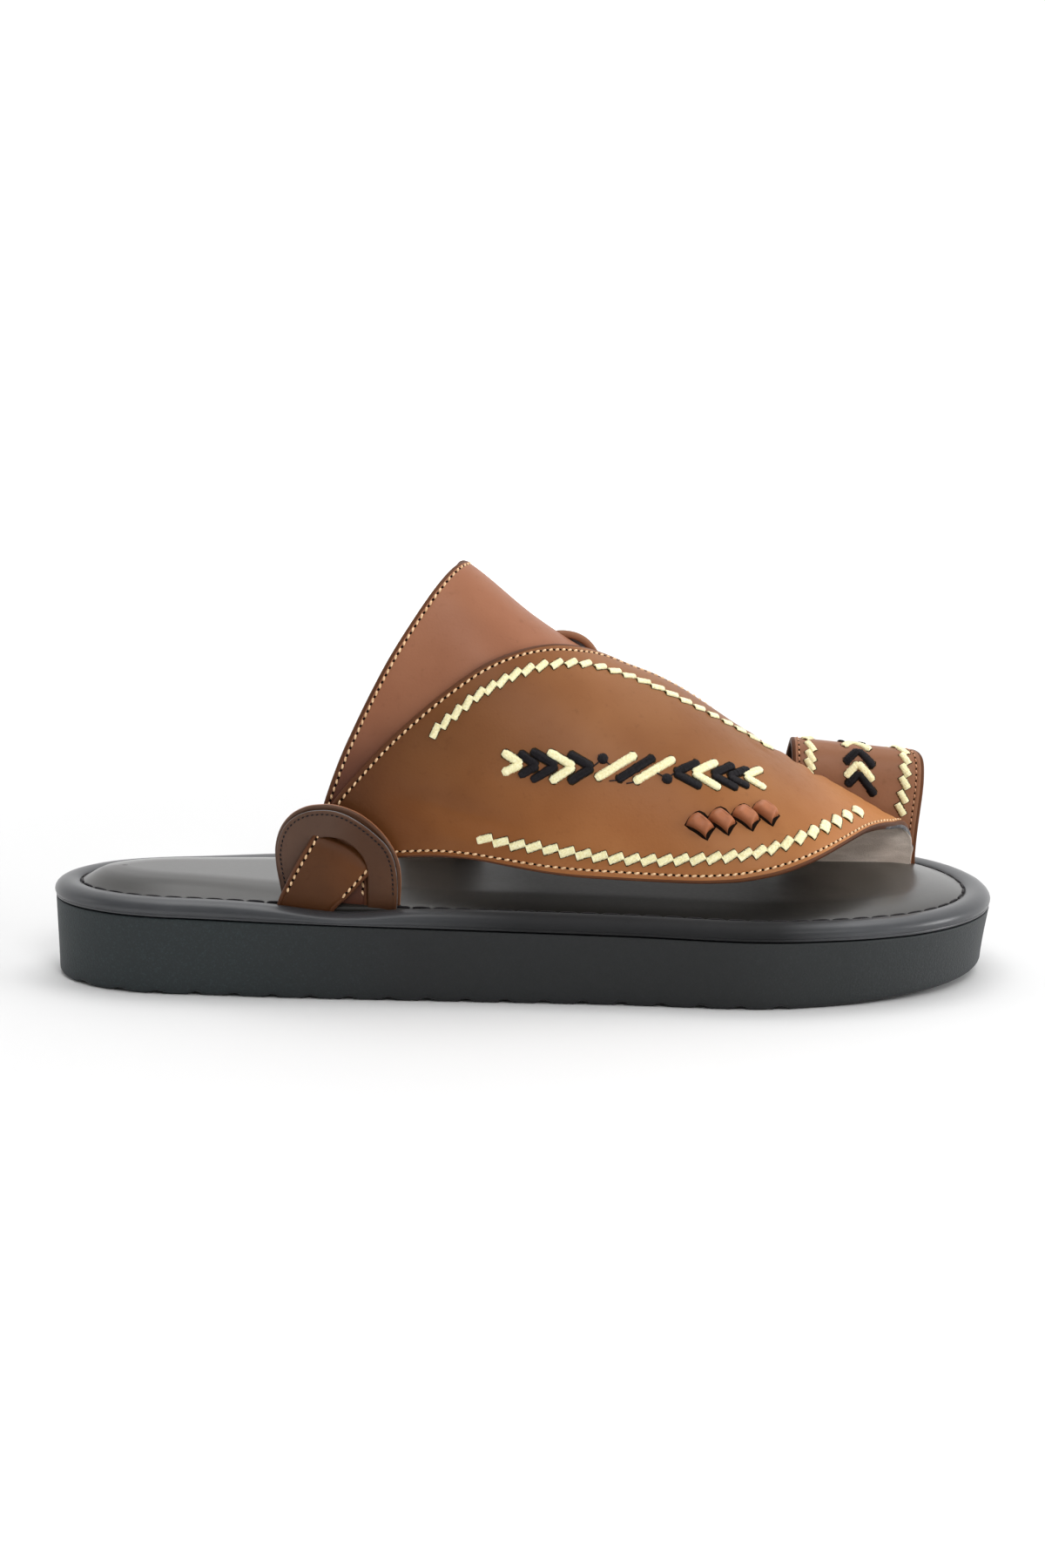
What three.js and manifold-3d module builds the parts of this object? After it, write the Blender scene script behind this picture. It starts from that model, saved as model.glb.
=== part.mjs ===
// A right-foot sandal: a leaf strap laid over a pointed instep panel, a ring for the big toe, two standing
// ears that the straps thread through, a padded insole with a rolled edge, and a moulded outsole.
// Lengths are in millimetres, with +X to the toe, +Y to the inner side of the foot and +Z up.
import * as THREE from "three";
import Module from "manifold-3d";
import { mergeVertices } from "three/addons/utils/BufferGeometryUtils.js";

// Sole.
const length = 285; // over the rolled edge, heel to toe
const ballWidth = 101; // over the rolled edge, at the ball
const heelRound = 38; // how far the round of the heel reaches
const toeRound = 49; // how far the round of the toe reaches
const heelHeight = 24; // outsole at the heel
const ballHeight = 20.2; // outsole at the ball
const toeSpring = 3.3; // rise of the outsole's underside at the toe
const heelTaper = 0.5; // how far the sidewall draws in at the heel's underside
const toeTaper = 2.3; // the same at the toe
const soleEdge = 2; // rounding of the underside's edge
const overhang = 0.4; // rolled edge past the outsole
const grooveStep = 11.5; // from one tread groove to the next
const grooveWidth = 5;
const grooveDepth = 1.2;
const rollWidth = 8; // leather roll around the edge
const rollHeight = 5.4; // roll over the outsole
const rollDip = 2.3; // how far the roll is pressed down beside the ears
const padHeight = 7.3; // insole's top over the outsole
const padEdge = 4.6; // insole's rim over the outsole
const padSlope = 11; // how far in the rim's slope reaches

// Upper.
const instepHeight = 108; // the form under the straps, over the insole
const panelLeather = 2;
const leafLeather = 2.6; // leather with its lining
const leafSink = 0.7; // how deep the leaf is joined into the panel
const puffSide = 7.4; // woven ornaments on the leaf
const puffHeight = 2.2;
const keeperLeather = 1.6;
const keeperRise = 2.2;
const ringLeather = 2;
const ringHeight = 36.3; // toe ring at its rear edge, over the insole
const ringDrop = 3.7; // how much lower its front edge is
const ringInside = 17; // between its two walls

// Ears.
const earPlace = 0.3055; // the outer one, as a share of the length from the heel
const innerEarPlace = 0.393;
const earWidth = 36.9;
const earHeight = 28.8; // over the insole
const earBand = 9.5; // from the opening to the rim
const earBack = 1.9; // rear layer
const earFront = 1.3; // front layer
const earRim = 1.8; // how far the front layer stays inside the rear one
const earLean = 9.5; // degrees, outward
const earTurn = 9.6; // degrees, along the outer edge
const innerEarTurn = 8.5; // degrees, along the inner edge
const earClearance = 2.4; // from the straps to the outer ear
const innerEarClearance = 3.2;

const gap = 0.3; // between neighbouring pieces
const sew = 0.3; // left under a foot that ends inside the insole

const wasm = await Module();
wasm.setup();
const rad = Math.PI / 180;

// A table: its column names, then a row for each section.
const table = (names, rows) => names.map((name, k) => [name, rows.map((row) => row[k])])
  .reduce((all, [name, list]) => ({ ...all, [name]: list }), {});

// A smooth curve through a table's column.
function along(at, list, x) {
  const last = at.length - 1;
  const s = Math.min(Math.max(x, at[0]), at[last]);
  let i = 0;
  while (i < last - 1 && s > at[i + 1]) i += 1;
  const rise = (k) => (list[k + 1] - list[k]) / (at[k + 1] - at[k]);
  const tilt = (k) => (k === 0 ? rise(0) : k === last ? rise(last - 1) : (rise(k - 1) + rise(k)) / 2);
  const h = at[i + 1] - at[i];
  const t = (s - at[i]) / h;
  return (2 * t ** 3 - 3 * t * t + 1) * list[i] + (t ** 3 - 2 * t * t + t) * h * tilt(i)
    + (3 * t * t - 2 * t ** 3) * list[i + 1] + (t ** 3 - t * t) * h * tilt(i + 1);
}

// Half widths of the sole as shares of the ball's width, at shares of the length.
const outline = table(["at", "lateral", "medial"], [
  [0.0, 0.286, 0.27],
  [0.12, 0.297, 0.277],
  [0.25, 0.347, 0.337],
  [0.42, 0.396, 0.376],
  [0.6, 0.446, 0.436],
  [0.75, 0.5, 0.485],
  [0.88, 0.447, 0.492],
  [1.0, 0.436, 0.48],
]);

// Sections of the foot's form: height as a share of the instep, the rest as shares of the ball's width.
const form = table(["at", "high", "ridge", "lateral", "medial"], [
  [0.21, 0.963, 0.01, 0.245, 0.22],
  [0.281, 0.99, 0.018, 0.246, 0.225],
  [0.305, 1.0, 0.02, 0.2545, 0.231],
  [0.351, 0.981, 0.022, 0.268, 0.233],
  [0.372, 0.958, 0.025, 0.282, 0.234],
  [0.439, 0.865, 0.03, 0.337, 0.282],
  [0.509, 0.713, 0.042, 0.376, 0.327],
  [0.579, 0.594, 0.059, 0.411, 0.297],
  [0.649, 0.511, 0.084, 0.446, 0.238],
  [0.719, 0.391, 0.114, 0.48, 0.129],
  [0.772, 0.302, 0.134, 0.49, 0.059],
  [0.814, 0.235, 0.149, 0.465, 0.032],
  [0.86, 0.166, 0.154, 0.366, 0.026],
  [0.898, 0.108, 0.155, 0.277, 0.025],
  [0.933, 0.074, 0.155, 0.198, 0.025],
]);

// The leaf's two edges, from the ear to the root between the toes: place along the sole and degrees
// around the form, 0 at its outer foot, 90 on the ridge and 180 at its inner foot.
const leafRows = table(["lowAt", "low", "highAt", "high"], [
  [0.361, 12, 0.288, 17.6],
  [0.372, 12.7, 0.296, 20.6],
  [0.391, 13.35, 0.309, 24],
  [0.418, 14.1, 0.331, 28.4],
  [0.449, 14.3, 0.3575, 33.5],
  [0.484, 13.5, 0.389, 39.6],
  [0.519, 12.6, 0.4215, 46.4],
  [0.554, 12, 0.4555, 54.6],
  [0.589, 11.9, 0.487, 63.3],
  [0.624, 11.7, 0.517, 72.4],
  [0.656, 11.7, 0.5455, 81],
  [0.682, 12.1, 0.5745, 89.5],
  [0.703, 12.9, 0.606, 94.5],
  [0.7205, 13.9, 0.636, 97.5],
  [0.738, 15.6, 0.666, 101.5],
  [0.757, 18.1, 0.698, 109],
  [0.775, 21.6, 0.73, 122],
  [0.792, 25.9, 0.761, 142],
  [0.808, 31.1, 0.786, 168],
  [0.8245, 37.6, 0.804, 200],
  [0.842, 45.4, 0.823, 204],
  [0.859, 54.7, 0.844, 204],
  [0.876, 65.5, 0.864, 204],
  [0.891, 77.5, 0.884, 204],
  [0.9045, 92, 0.9, 204],
  [0.9175, 118, 0.913, 204],
  [0.9245, 152, 0.9235, 204],
]);

// The panel's rear and front edges, from the outer ear over the ridge to the inner ear.
const panelRows = table(["rearAt", "rear", "frontAt", "front"], [
  [0.286, 17.2, 0.335, 13.2],
  [0.293, 22.4, 0.349, 17.5],
  [0.308, 29.4, 0.368, 23.5],
  [0.323, 35.0, 0.395, 30.0],
  [0.341, 41.4, 0.428, 37.5],
  [0.361, 48.6, 0.47, 46.0],
  [0.383, 57.0, 0.518, 56.0],
  [0.404, 66.6, 0.566, 66.5],
  [0.419, 75.4, 0.608, 76.5],
  [0.429, 83.0, 0.642, 86.0],
  [0.436, 91.0, 0.662, 95.0],
  [0.431, 99.0, 0.656, 103],
  [0.425, 107, 0.64, 111],
  [0.414, 116, 0.615, 120],
  [0.401, 126, 0.585, 129],
  [0.388, 135, 0.552, 138],
  [0.377, 144, 0.518, 146],
  [0.369, 152, 0.48, 153.5],
  [0.364, 159, 0.448, 160],
  [0.361, 165.5, 0.429, 166],
]);

// The tails at an ear: across in half openings, height in openings, outward in ear thicknesses.
const leafTail = table(["fromU", "toU", "fromUp", "toUp", "fromOut", "toOut"], [
  [-1.93, -0.26, -0.37, -0.37, 1.1, 1.1],
  [-1.8, -0.08, -0.08, -0.08, 1.06, 1.08],
  [-1.62, 0.24, 0.135, 0.08, 1.08, 0.8],
  [-1.36, 0.58, 0.35, 0.25, 1.32, 0.05],
  [-1.04, 0.92, 0.58, 0.4, 0.4, -0.9],
  [-0.8, 1.3, 0.76, 0.52, -0.85, -1.35],
]);
const panelTail = table(["fromU", "toU", "fromUp", "toUp", "fromOut", "toOut"], [
  [-0.95, 0.78, -0.37, -0.37, -0.1, -0.1],
  [-0.95, 0.8, -0.05, -0.05, -0.1, -0.1],
  [-0.88, 0.86, 0.32, 0.24, -0.6, -0.6],
  [-0.8, 0.9, 0.64, 0.46, -1.15, -1.15],
]);

// The toe ring's edges, from its wall between the toes to its foot at the inner seam.
const ringRows = table(["turn", "rearAt", "frontAt"], [
  [0, 0.797, 0.926],
  [45, 0.796, 0.932],
  [80, 0.796, 0.934],
  [110, 0.796, 0.922],
  [140, 0.792, 0.9],
  [180, 0.786, 0.876],
]);

// Woven ornaments on the leaf: place along the sole and degrees around the form.
const puffs = table(["at", "turn"], [
  [0.695, 31.5],
  [0.718, 35.5],
  [0.743, 39.5],
  [0.763, 43.5],
]);

// Heights: the outsole's top, and the insole's top at its middle.
const soleTop = (x) => {
  const t = Math.min(Math.max((x / length - 0.05) / 0.85, 0), 1);
  return heelHeight + (ballHeight - heelHeight) * t;
};
const insoleTop = (x) => soleTop(x) + padHeight;

// A signed half width of the outline, rounded off at heel and toe.
function halfWidth(x, side) {
  const list = side < 0 ? outline.lateral : outline.medial;
  const behind = Math.max(heelRound - x, 0) / heelRound;
  const ahead = Math.max(x - (length - toeRound), 0) / toeRound;
  const round = Math.sqrt(Math.max(1 - behind ** 2, 0)) * Math.sqrt(Math.max(1 - ahead ** 2, 0));
  return side * ballWidth * along(outline.at, list, x / length) * round;
}

// Stations from heel to toe, closer together in the two rounds.
const stations = [];
for (let k = 0; k <= 7; k += 1) stations.push(heelRound * (1 - Math.cos(90 * rad * k / 7)));
for (let k = 1; k < 12; k += 1) stations.push(heelRound + (length - heelRound - toeRound) * k / 12);
for (let k = 0; k <= 7; k += 1) stations.push(length - toeRound + toeRound * Math.sin(90 * rad * k / 7));

// The outline as a loop: up the outer side and back down the inner one.
const loop = [
  ...stations.map((x) => new THREE.Vector2(x, halfWidth(x, -1))),
  ...stations.slice(1, -1).reverse().map((x) => new THREE.Vector2(x, halfWidth(x, 1))),
];

// The loop drawn in by an inset that may change from heel to toe.
function drawnIn(inset) {
  const n = loop.length;
  return loop.map((p, i) => {
    const d = loop[(i + 1) % n].clone().sub(loop[(i + n - 1) % n]).normalize();
    const by = typeof inset === "function" ? inset(p.x / length) : inset;
    return new THREE.Vector2(p.x - d.y * by, p.y + d.x * by);
  });
}

// A closed geometry from corners and triangles, with equal corners merged and slivers dropped.
function closed(corners, triangles) {
  const raw = new THREE.BufferGeometry();
  raw.setAttribute("position", new THREE.Float32BufferAttribute(corners.flatMap((p) => [p.x, p.y, p.z]), 3));
  raw.setIndex(triangles.flat());
  const merged = mergeVertices(raw, 2e-3);
  const kept = [];
  const list = merged.index.array;
  for (let i = 0; i < list.length; i += 3) {
    const [a, b, c] = [list[i], list[i + 1], list[i + 2]];
    if (a !== b && b !== c && c !== a) kept.push(a, b, c);
  }
  const mesh = (order) => new wasm.Manifold(new wasm.Mesh({
    numProp: 3,
    vertProperties: new Float32Array(merged.attributes.position.array),
    triVerts: new Uint32Array(order),
  }));
  const solid = mesh(kept);
  if (solid.volume() > 0) return solid;
  const turned = [];
  for (let i = 0; i < kept.length; i += 3) turned.push(kept[i], kept[i + 2], kept[i + 1]);
  return mesh(turned);
}

// Two triangles for a cell of a grid, cut along its shorter diagonal.
function cell(corners, a, b, c, d) {
  const short = corners[a].distanceTo(corners[c]) <= corners[b].distanceTo(corners[d]);
  return short ? [[a, b, c], [a, c, d]] : [[a, b, d], [b, c, d]];
}

// A sheet between two grids of points with the same rows and columns.
function sheet(low, high) {
  const rows = low.length;
  const cols = low[0].length;
  const corners = [...low.flat(), ...high.flat()];
  const at = (i, j, k) => k * rows * cols + i * cols + j;
  const faces = [];
  for (let i = 0; i < rows - 1; i += 1) {
    for (let j = 0; j < cols - 1; j += 1) {
      faces.push(...cell(corners, at(i, j, 0), at(i, j + 1, 0), at(i + 1, j + 1, 0), at(i + 1, j, 0)));
      faces.push(...cell(corners, at(i, j, 1), at(i + 1, j, 1), at(i + 1, j + 1, 1), at(i, j + 1, 1)));
    }
    faces.push(...cell(corners, at(i, 0, 0), at(i + 1, 0, 0), at(i + 1, 0, 1), at(i, 0, 1)));
    const e = cols - 1;
    faces.push(...cell(corners, at(i, e, 0), at(i, e, 1), at(i + 1, e, 1), at(i + 1, e, 0)));
  }
  for (let j = 0; j < cols - 1; j += 1) {
    faces.push(...cell(corners, at(0, j, 0), at(0, j, 1), at(0, j + 1, 1), at(0, j + 1, 0)));
    const e = rows - 1;
    faces.push(...cell(corners, at(e, j, 0), at(e, j + 1, 0), at(e, j + 1, 1), at(e, j, 1)));
  }
  return closed(corners, faces);
}

// A leather wall around a grid of its middle points, thick to both sides and grown for a slot's cutter.
function wall(middle, thick, grow = 0) {
  const rows = middle.length;
  const cols = middle[0].length;
  const grid = middle.map((row) => row.map((p) => p.clone()));
  if (grow) {
    grid.forEach((row) => {
      const e = cols - 1;
      const first = row[0].clone().sub(row[1]).setLength(grow);
      const final = row[e].clone().sub(row[e - 1]).setLength(grow);
      row[0].add(first);
      row[e].add(final);
    });
    const e = rows - 1;
    for (let j = 0; j < cols; j += 1) {
      const start = grid[0][j].clone().sub(grid[1][j]).setLength(grow);
      const end = grid[e][j].clone().sub(grid[e - 1][j]).setLength(grow);
      grid[0][j].add(start);
      grid[e][j].add(end);
    }
  }
  const normal = (i, j) => {
    const down = grid[Math.min(i + 1, rows - 1)][j].clone().sub(grid[Math.max(i - 1, 0)][j]);
    const over = grid[i][Math.min(j + 1, cols - 1)].clone().sub(grid[i][Math.max(j - 1, 0)]);
    return down.cross(over).normalize();
  };
  const half = (i, j) => (typeof thick === "function" ? thick(i, j) : thick) / 2 + grow;
  const side = (s) => grid.map((row, i) => row.map((p, j) => p.clone().addScaledVector(normal(i, j), s * half(i, j))));
  return sheet(side(-1), side(1));
}

// A body between rings of the outline, each drawn in and lifted, closed by ladders across.
function stack(rings) {
  const n = loop.length;
  const m = stations.length;
  const corners = rings.flatMap((ring) => drawnIn(ring.inset)
    .map((p) => new THREE.Vector3(p.x, p.y, ring.z(p.x, p.y))));
  const faces = [];
  for (let r = 0; r < rings.length - 1; r += 1) {
    for (let i = 0; i < n; i += 1) {
      const j = (i + 1) % n;
      faces.push(...cell(corners, r * n + i, r * n + j, (r + 1) * n + j, (r + 1) * n + i));
    }
  }
  const ladder = (base, up) => {
    const other = (i) => (i === 0 || i === m - 1 ? i : n - i);
    for (let i = 0; i < m - 1; i += 1) {
      const quad = [base + i, base + i + 1, base + other(i + 1), base + other(i)];
      const turned = up ? quad : [...quad].reverse();
      faces.push([turned[0], turned[1], turned[2]], [turned[0], turned[2], turned[3]]);
    }
  };
  ladder(0, false);
  ladder((rings.length - 1) * n, true);
  return closed(corners, faces.filter(([a, b, c]) => a !== b && b !== c && c !== a));
}

// A ring-shaped body swept around the outline through a loop of (inset, height) points.
function hoop(profile, height) {
  const n = loop.length;
  const m = profile.length;
  const corners = profile.flatMap(([inset, z]) => drawnIn(inset)
    .map((p, i) => new THREE.Vector3(p.x, p.y, height(loop[i], z))));
  const faces = [];
  for (let r = 0; r < m; r += 1) {
    const s = (r + 1) % m;
    for (let i = 0; i < n; i += 1) {
      const j = (i + 1) % n;
      faces.push(...cell(corners, r * n + i, r * n + j, s * n + j, s * n + i));
    }
  }
  return closed(corners, faces);
}

// The foot's form under the straps, at a place along the sole and an angle around it.
function onForm(at, turn) {
  const x = at * length;
  const pick = (name) => along(form.at, form[name], at);
  const a = Math.min(Math.max(turn, 0), 180) * rad;
  const forward = Math.min(Math.max((at - 0.439) / 0.421, 0), 1);
  const c = Math.cos(a);
  const wide = c > 0 ? pick("lateral") : pick("medial");
  const y = ballWidth * (pick("ridge") - Math.sign(c) * wide * Math.abs(c) ** (2 / 2.2));
  const z = instepHeight * pick("high") * Math.sin(a) ** (2 / (1.4 + 0.4 * forward));
  const below = Math.max(turn - 180, 0) / 24 * (padHeight - sew);
  return new THREE.Vector3(x, y, insoleTop(x) + z - below);
}

// A point lifted off the form.
function lifted(at, turn, by) {
  const e = 0.1;
  const t = Math.min(Math.max(turn, 2), 178);
  const ahead = onForm(at + e / length, t).sub(onForm(at - e / length, t));
  const around = onForm(at, t + e).sub(onForm(at, t - e));
  return onForm(at, turn).addScaledVector(ahead.cross(around).normalize(), by);
}

// An ear's own frame: a point across, up and outward.
const earHole = { half: earWidth / 2 - earBand, high: earHeight - earBand - 1.1 };
const earThick = earBack + earFront;
const leafMiddle = panelLeather - leafSink + leafLeather / 2;
function earPoint(side, across, up, out) {
  const place = side < 0 ? earPlace : innerEarPlace;
  const x = place * length;
  const base = insoleTop(x);
  const top = onForm(place, side < 0 ? 18 : 162);
  const strap = side < 0 ? leafMiddle + leafLeather / 2 + earClearance : panelLeather + innerEarClearance;
  const lean = Math.tan(earLean * rad);
  const y = top.y + side * (strap + earThick / 2 - lean * (top.z - base));
  const turned = side < 0 ? earTurn : innerEarTurn;
  return new THREE.Vector3(
    x + across * Math.cos(turned * rad) - out * Math.sin(turned * rad),
    y + side * (across * Math.sin(turned * rad) + up * lean + out * Math.cos(turned * rad)),
    base + up,
  );
}

// A row of points between two ends.
const between = (from, to, count) => Array.from({ length: count }, (_, k) => from.clone().lerp(to, k / (count - 1)));

// A tail's rows in an ear's frame.
const tailRows = (side, tail, count) => tail.fromU.map((_, k) => between(
  earPoint(side, tail.fromU[k] * earHole.half, tail.fromUp[k] * earHole.high, tail.fromOut[k] * earThick),
  earPoint(side, tail.toU[k] * earHole.half, tail.toUp[k] * earHole.high, tail.toOut[k] * earThick),
  count,
));

// The leaf: its tail through the outer ear, its rows over the form and its root between the toes.
const leafCols = 17;
const leafGrid = [
  ...tailRows(-1, leafTail, leafCols),
  ...leafRows.low.map((_, k) => Array.from({ length: leafCols }, (__, j) => {
    const t = 1 - j / (leafCols - 1);
    return lifted(
      leafRows.lowAt[k] + (leafRows.highAt[k] - leafRows.lowAt[k]) * t,
      leafRows.low[k] + (leafRows.high[k] - leafRows.low[k]) * t,
      leafMiddle,
    );
  })),
];

// The panel: a tail through each ear and its rows over the ridge.
const panelCols = 10;
const panelGrid = [
  ...tailRows(-1, panelTail, panelCols),
  ...panelRows.rear.map((_, k) => Array.from({ length: panelCols }, (__, j) => {
    const t = j / (panelCols - 1);
    return lifted(
      panelRows.rearAt[k] + (panelRows.frontAt[k] - panelRows.rearAt[k]) * t,
      panelRows.rear[k] + (panelRows.front[k] - panelRows.rear[k]) * t,
      panelLeather / 2,
    );
  })),
  ...tailRows(1, panelTail, panelCols).reverse(),
];

// The small keeper on the inner side of the ridge.
const keeperGrid = Array.from({ length: 9 }, (_, i) => Array.from({ length: 4 }, (__, j) => lifted(
  0.533 + 0.041 * i / 8,
  94 + 14 * j / 3,
  panelLeather * 0.8 + keeperLeather / 2 + keeperRise * Math.sin(Math.PI * i / 8),
)));

// The woven ornaments stand on the leaf as small cushions.
const leafTop = panelLeather - leafSink + leafLeather;
const puff = (k) => {
  const middle = lifted(puffs.at[k], puffs.turn[k], leafTop);
  const e = 0.4;
  const ahead = lifted(puffs.at[k] + e / length, puffs.turn[k], leafTop).sub(middle).normalize();
  const out = lifted(puffs.at[k], puffs.turn[k] + e, leafTop).sub(middle).cross(ahead).normalize().negate();
  const around = out.clone().cross(ahead);
  const steps = [-1, -0.8, -0.35, 0.35, 0.8, 1];
  const grid = (height) => steps.map((u) => steps.map((v) => middle.clone()
    .addScaledVector(ahead, u * puffSide / 2).addScaledVector(around, v * puffSide / 2)
    .addScaledVector(out, height(u, v))));
  return sheet(
    grid(() => -leafLeather / 2),
    grid((u, v) => puffHeight * Math.sqrt(Math.max(1 - Math.max(Math.abs(u), Math.abs(v)) ** 4, 0)) + 0.2),
  );
};

// The toe ring: two walls and a boxy arch over the big toe.
const ringWallAt = ballWidth * (0.149 + 0.032) + leafMiddle + leafLeather / 2 + ringLeather / 2 + 2 * gap;
const ringMiddle = ringWallAt + (ringInside + ringLeather) / 2;
const ringGrid = [];
for (let k = -2; k <= 18; k += 1) {
  const turn = Math.min(Math.max(k * 180 / 16, 0), 180);
  const down = k < 0 ? -k / 2 : k > 16 ? (k - 16) / 2 : 0;
  const c = Math.cos(turn * rad);
  const rear = along(ringRows.turn, ringRows.rearAt, turn) * length;
  const front = along(ringRows.turn, ringRows.frontAt, turn) * length;
  ringGrid.push(Array.from({ length: 6 }, (_, j) => {
    const x = rear + (front - rear) * j / 5;
    const high = ringHeight - ringDrop * j / 5 - ringLeather / 2;
    return new THREE.Vector3(
      x,
      ringMiddle - Math.sign(c) * Math.abs(c) ** 0.72 * (ringInside + ringLeather) / 2,
      insoleTop(x) + high * Math.sin(turn * rad) ** 0.72 - down * (padHeight - sew),
    );
  }));
}

// An ear: a band around its opening, with a narrower front layer. The band widens no further than its rim.
function ear(side, grow = 0) {
  const round = earWidth / 2;
  const path = [];
  const arcs = 14;
  const floor = -(padHeight - sew) - grow;
  const low = earHeight - round;
  const inLow = earHole.high - earHole.half;
  const leftOpen = (share) => (side < 0 ? -earHole.half * (1 + 0.3 * Math.sin(Math.PI * share)) : -earHole.half);
  path.push([[-round * 0.955, floor], [leftOpen(0.9), floor]]);
  path.push([[-round * 0.955, 0], [leftOpen(0.85), 0]]);
  path.push([[-round, low * 0.7], [leftOpen(0.6), inLow * 0.8]]);
  for (let k = 0; k <= arcs; k += 1) {
    const a = Math.PI * (1 - k / arcs);
    const open = side < 0 && k < 5 ? 1 + 0.22 * (1 - k / 5) : 1;
    path.push([
      [round * Math.cos(a), low + round * Math.sin(a)],
      [earHole.half * open * Math.cos(a), inLow + earHole.half * Math.sin(a)],
    ]);
  }
  path.push([[round, low * 0.7], [earHole.half, inLow * 0.7]]);
  path.push([[round * 0.985, 0], [earHole.half * 1.02, 0]]);
  path.push([[round * 0.985, floor], [earHole.half * 1.02, floor]]);
  const middle = earBack - earThick / 2;
  const rim = (t) => 1 - earRim / earBand * t;
  const section = [
    [0, -earThick / 2], [0, earThick / 2], [rim(1), earThick / 2],
    [rim(1), middle], [1, middle], [1, -earThick / 2],
  ];
  const corners = path.flatMap(([outer, inner]) => section.map(([share, out]) => {
    const width = Math.hypot(outer[0] - inner[0], outer[1] - inner[1]);
    const s = share + (share > 0.5 ? grow / width : -grow / width) * (grow ? 1 : 0);
    return earPoint(
      side,
      inner[0] + (outer[0] - inner[0]) * s,
      inner[1] + (outer[1] - inner[1]) * s,
      out + Math.sign(out) * (grow && Math.abs(out) > earThick / 4 ? grow : 0),
    );
  }));
  const m = section.length;
  const faces = [];
  for (let r = 0; r < path.length - 1; r += 1) {
    for (let s = 0; s < m; s += 1) {
      const t = (s + 1) % m;
      faces.push(...cell(corners, r * m + s, r * m + t, (r + 1) * m + t, (r + 1) * m + s));
    }
  }
  const end = (path.length - 1) * m;
  [[0, 2, 1], [0, 3, 2], [0, 4, 3], [0, 5, 4]].forEach((f) => {
    faces.push(f);
    faces.push(f.map((v) => v + end).reverse());
  });
  return closed(corners, faces);
}

// Outsole: sidewalls that draw in downward, toe spring, and grooves across the tread up to the ball.
const taper = (s) => overhang + heelTaper + (toeTaper - heelTaper) * s;
const spring = (x) => toeSpring * Math.max((x / length - 0.75) / 0.25, 0) ** 1.7;
let outsole = stack([
  { inset: (s) => taper(s) + soleEdge, z: (x) => spring(x) },
  { inset: (s) => taper(s) + soleEdge * 0.3, z: (x) => spring(x) + soleEdge * 0.3 },
  { inset: taper, z: (x) => spring(x) + soleEdge },
  { inset: (s) => overhang + (taper(s) - overhang) * 0.35, z: (x) => spring(x) + (soleTop(x) - spring(x)) * 0.6 },
  { inset: overhang, z: (x) => soleTop(x) },
]);
const grooveRound = (grooveWidth ** 2 / 4 + grooveDepth ** 2) / (2 * grooveDepth);
const grooves = [];
for (let x = grooveStep * 0.85; x < length * 0.765; x += grooveStep) {
  const arc = Math.asin(grooveWidth / 2 / grooveRound);
  const points = Array.from({ length: 7 }, (_, k) => {
    const a = -arc * 1.25 + 2.5 * arc * k / 6;
    return [x + grooveRound * Math.sin(a), grooveRound * Math.cos(a) - grooveRound + grooveDepth + spring(x)];
  });
  const low = [[x + grooveWidth, -5], [x - grooveWidth, -5]];
  const section = new THREE.Shape([...points, ...low].reverse().map(([across, up]) => new THREE.Vector2(across, up)));
  const bar = new THREE.ExtrudeGeometry(section, { depth: ballWidth * 1.4, bevelEnabled: false });
  bar.rotateX(Math.PI / 2).translate(0, ballWidth * 0.7, 0);
  const { array } = bar.attributes.position;
  const corners = Array.from({ length: array.length / 3 }, (_, k) => new THREE.Vector3().fromArray(array, k * 3));
  grooves.push(closed(corners, corners.map((_, k) => k)));
}
outsole = outsole.subtract(wasm.Manifold.union(grooves));

// Rolled edge, pressed down where the straps and ears go in beside it.
const dip = (p) => Math.exp(-(((p.x / length - (p.y < 0 ? earPlace : innerEarPlace)) / 0.06) ** 2));
const rollProfile = [
  [overhang + 0.3, gap], [0.3, gap + 0.9], [0, 2.6], [0.9, 4.2], [2.6, 5.15],
  [4.4, rollHeight], [6.4, 5.15], [rollWidth, 4.6], [rollWidth, gap],
];
const edgeRoll = hoop(rollProfile, (p, z) => soleTop(p.x) + z - rollDip * dip(p) * Math.max(z - gap, 0) / rollHeight);

// Insole: a domed pad whose rim slopes down to the seam.
const padRim = rollWidth + gap;
const insole = stack([
  { inset: padRim, z: (x) => soleTop(x) + gap },
  { inset: padRim, z: (x) => soleTop(x) + padEdge },
  { inset: padRim + padSlope * 0.12, z: (x) => soleTop(x) + padEdge + (padHeight - padEdge) * 0.5 },
  { inset: padRim + padSlope * 0.4, z: (x) => soleTop(x) + padEdge + (padHeight - padEdge) * 0.82 },
  { inset: padRim + padSlope, z: (x) => soleTop(x) + padHeight },
]);

// Slots for every foot that goes down through the seam or the pad.
const leaf = wall(leafGrid, leafLeather);
const panel = wall(panelGrid, panelLeather);
const cutters = wasm.Manifold.union([
  wall(leafGrid, leafLeather, gap),
  wall(panelGrid, panelLeather, gap),
  wall(ringGrid, ringLeather, gap),
  ear(-1, gap),
  ear(1, gap),
]);
const upper = wasm.Manifold.union([
  leaf, panel, wall(keeperGrid, keeperLeather), ...puffs.at.map((_, k) => puff(k)),
]);

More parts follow.
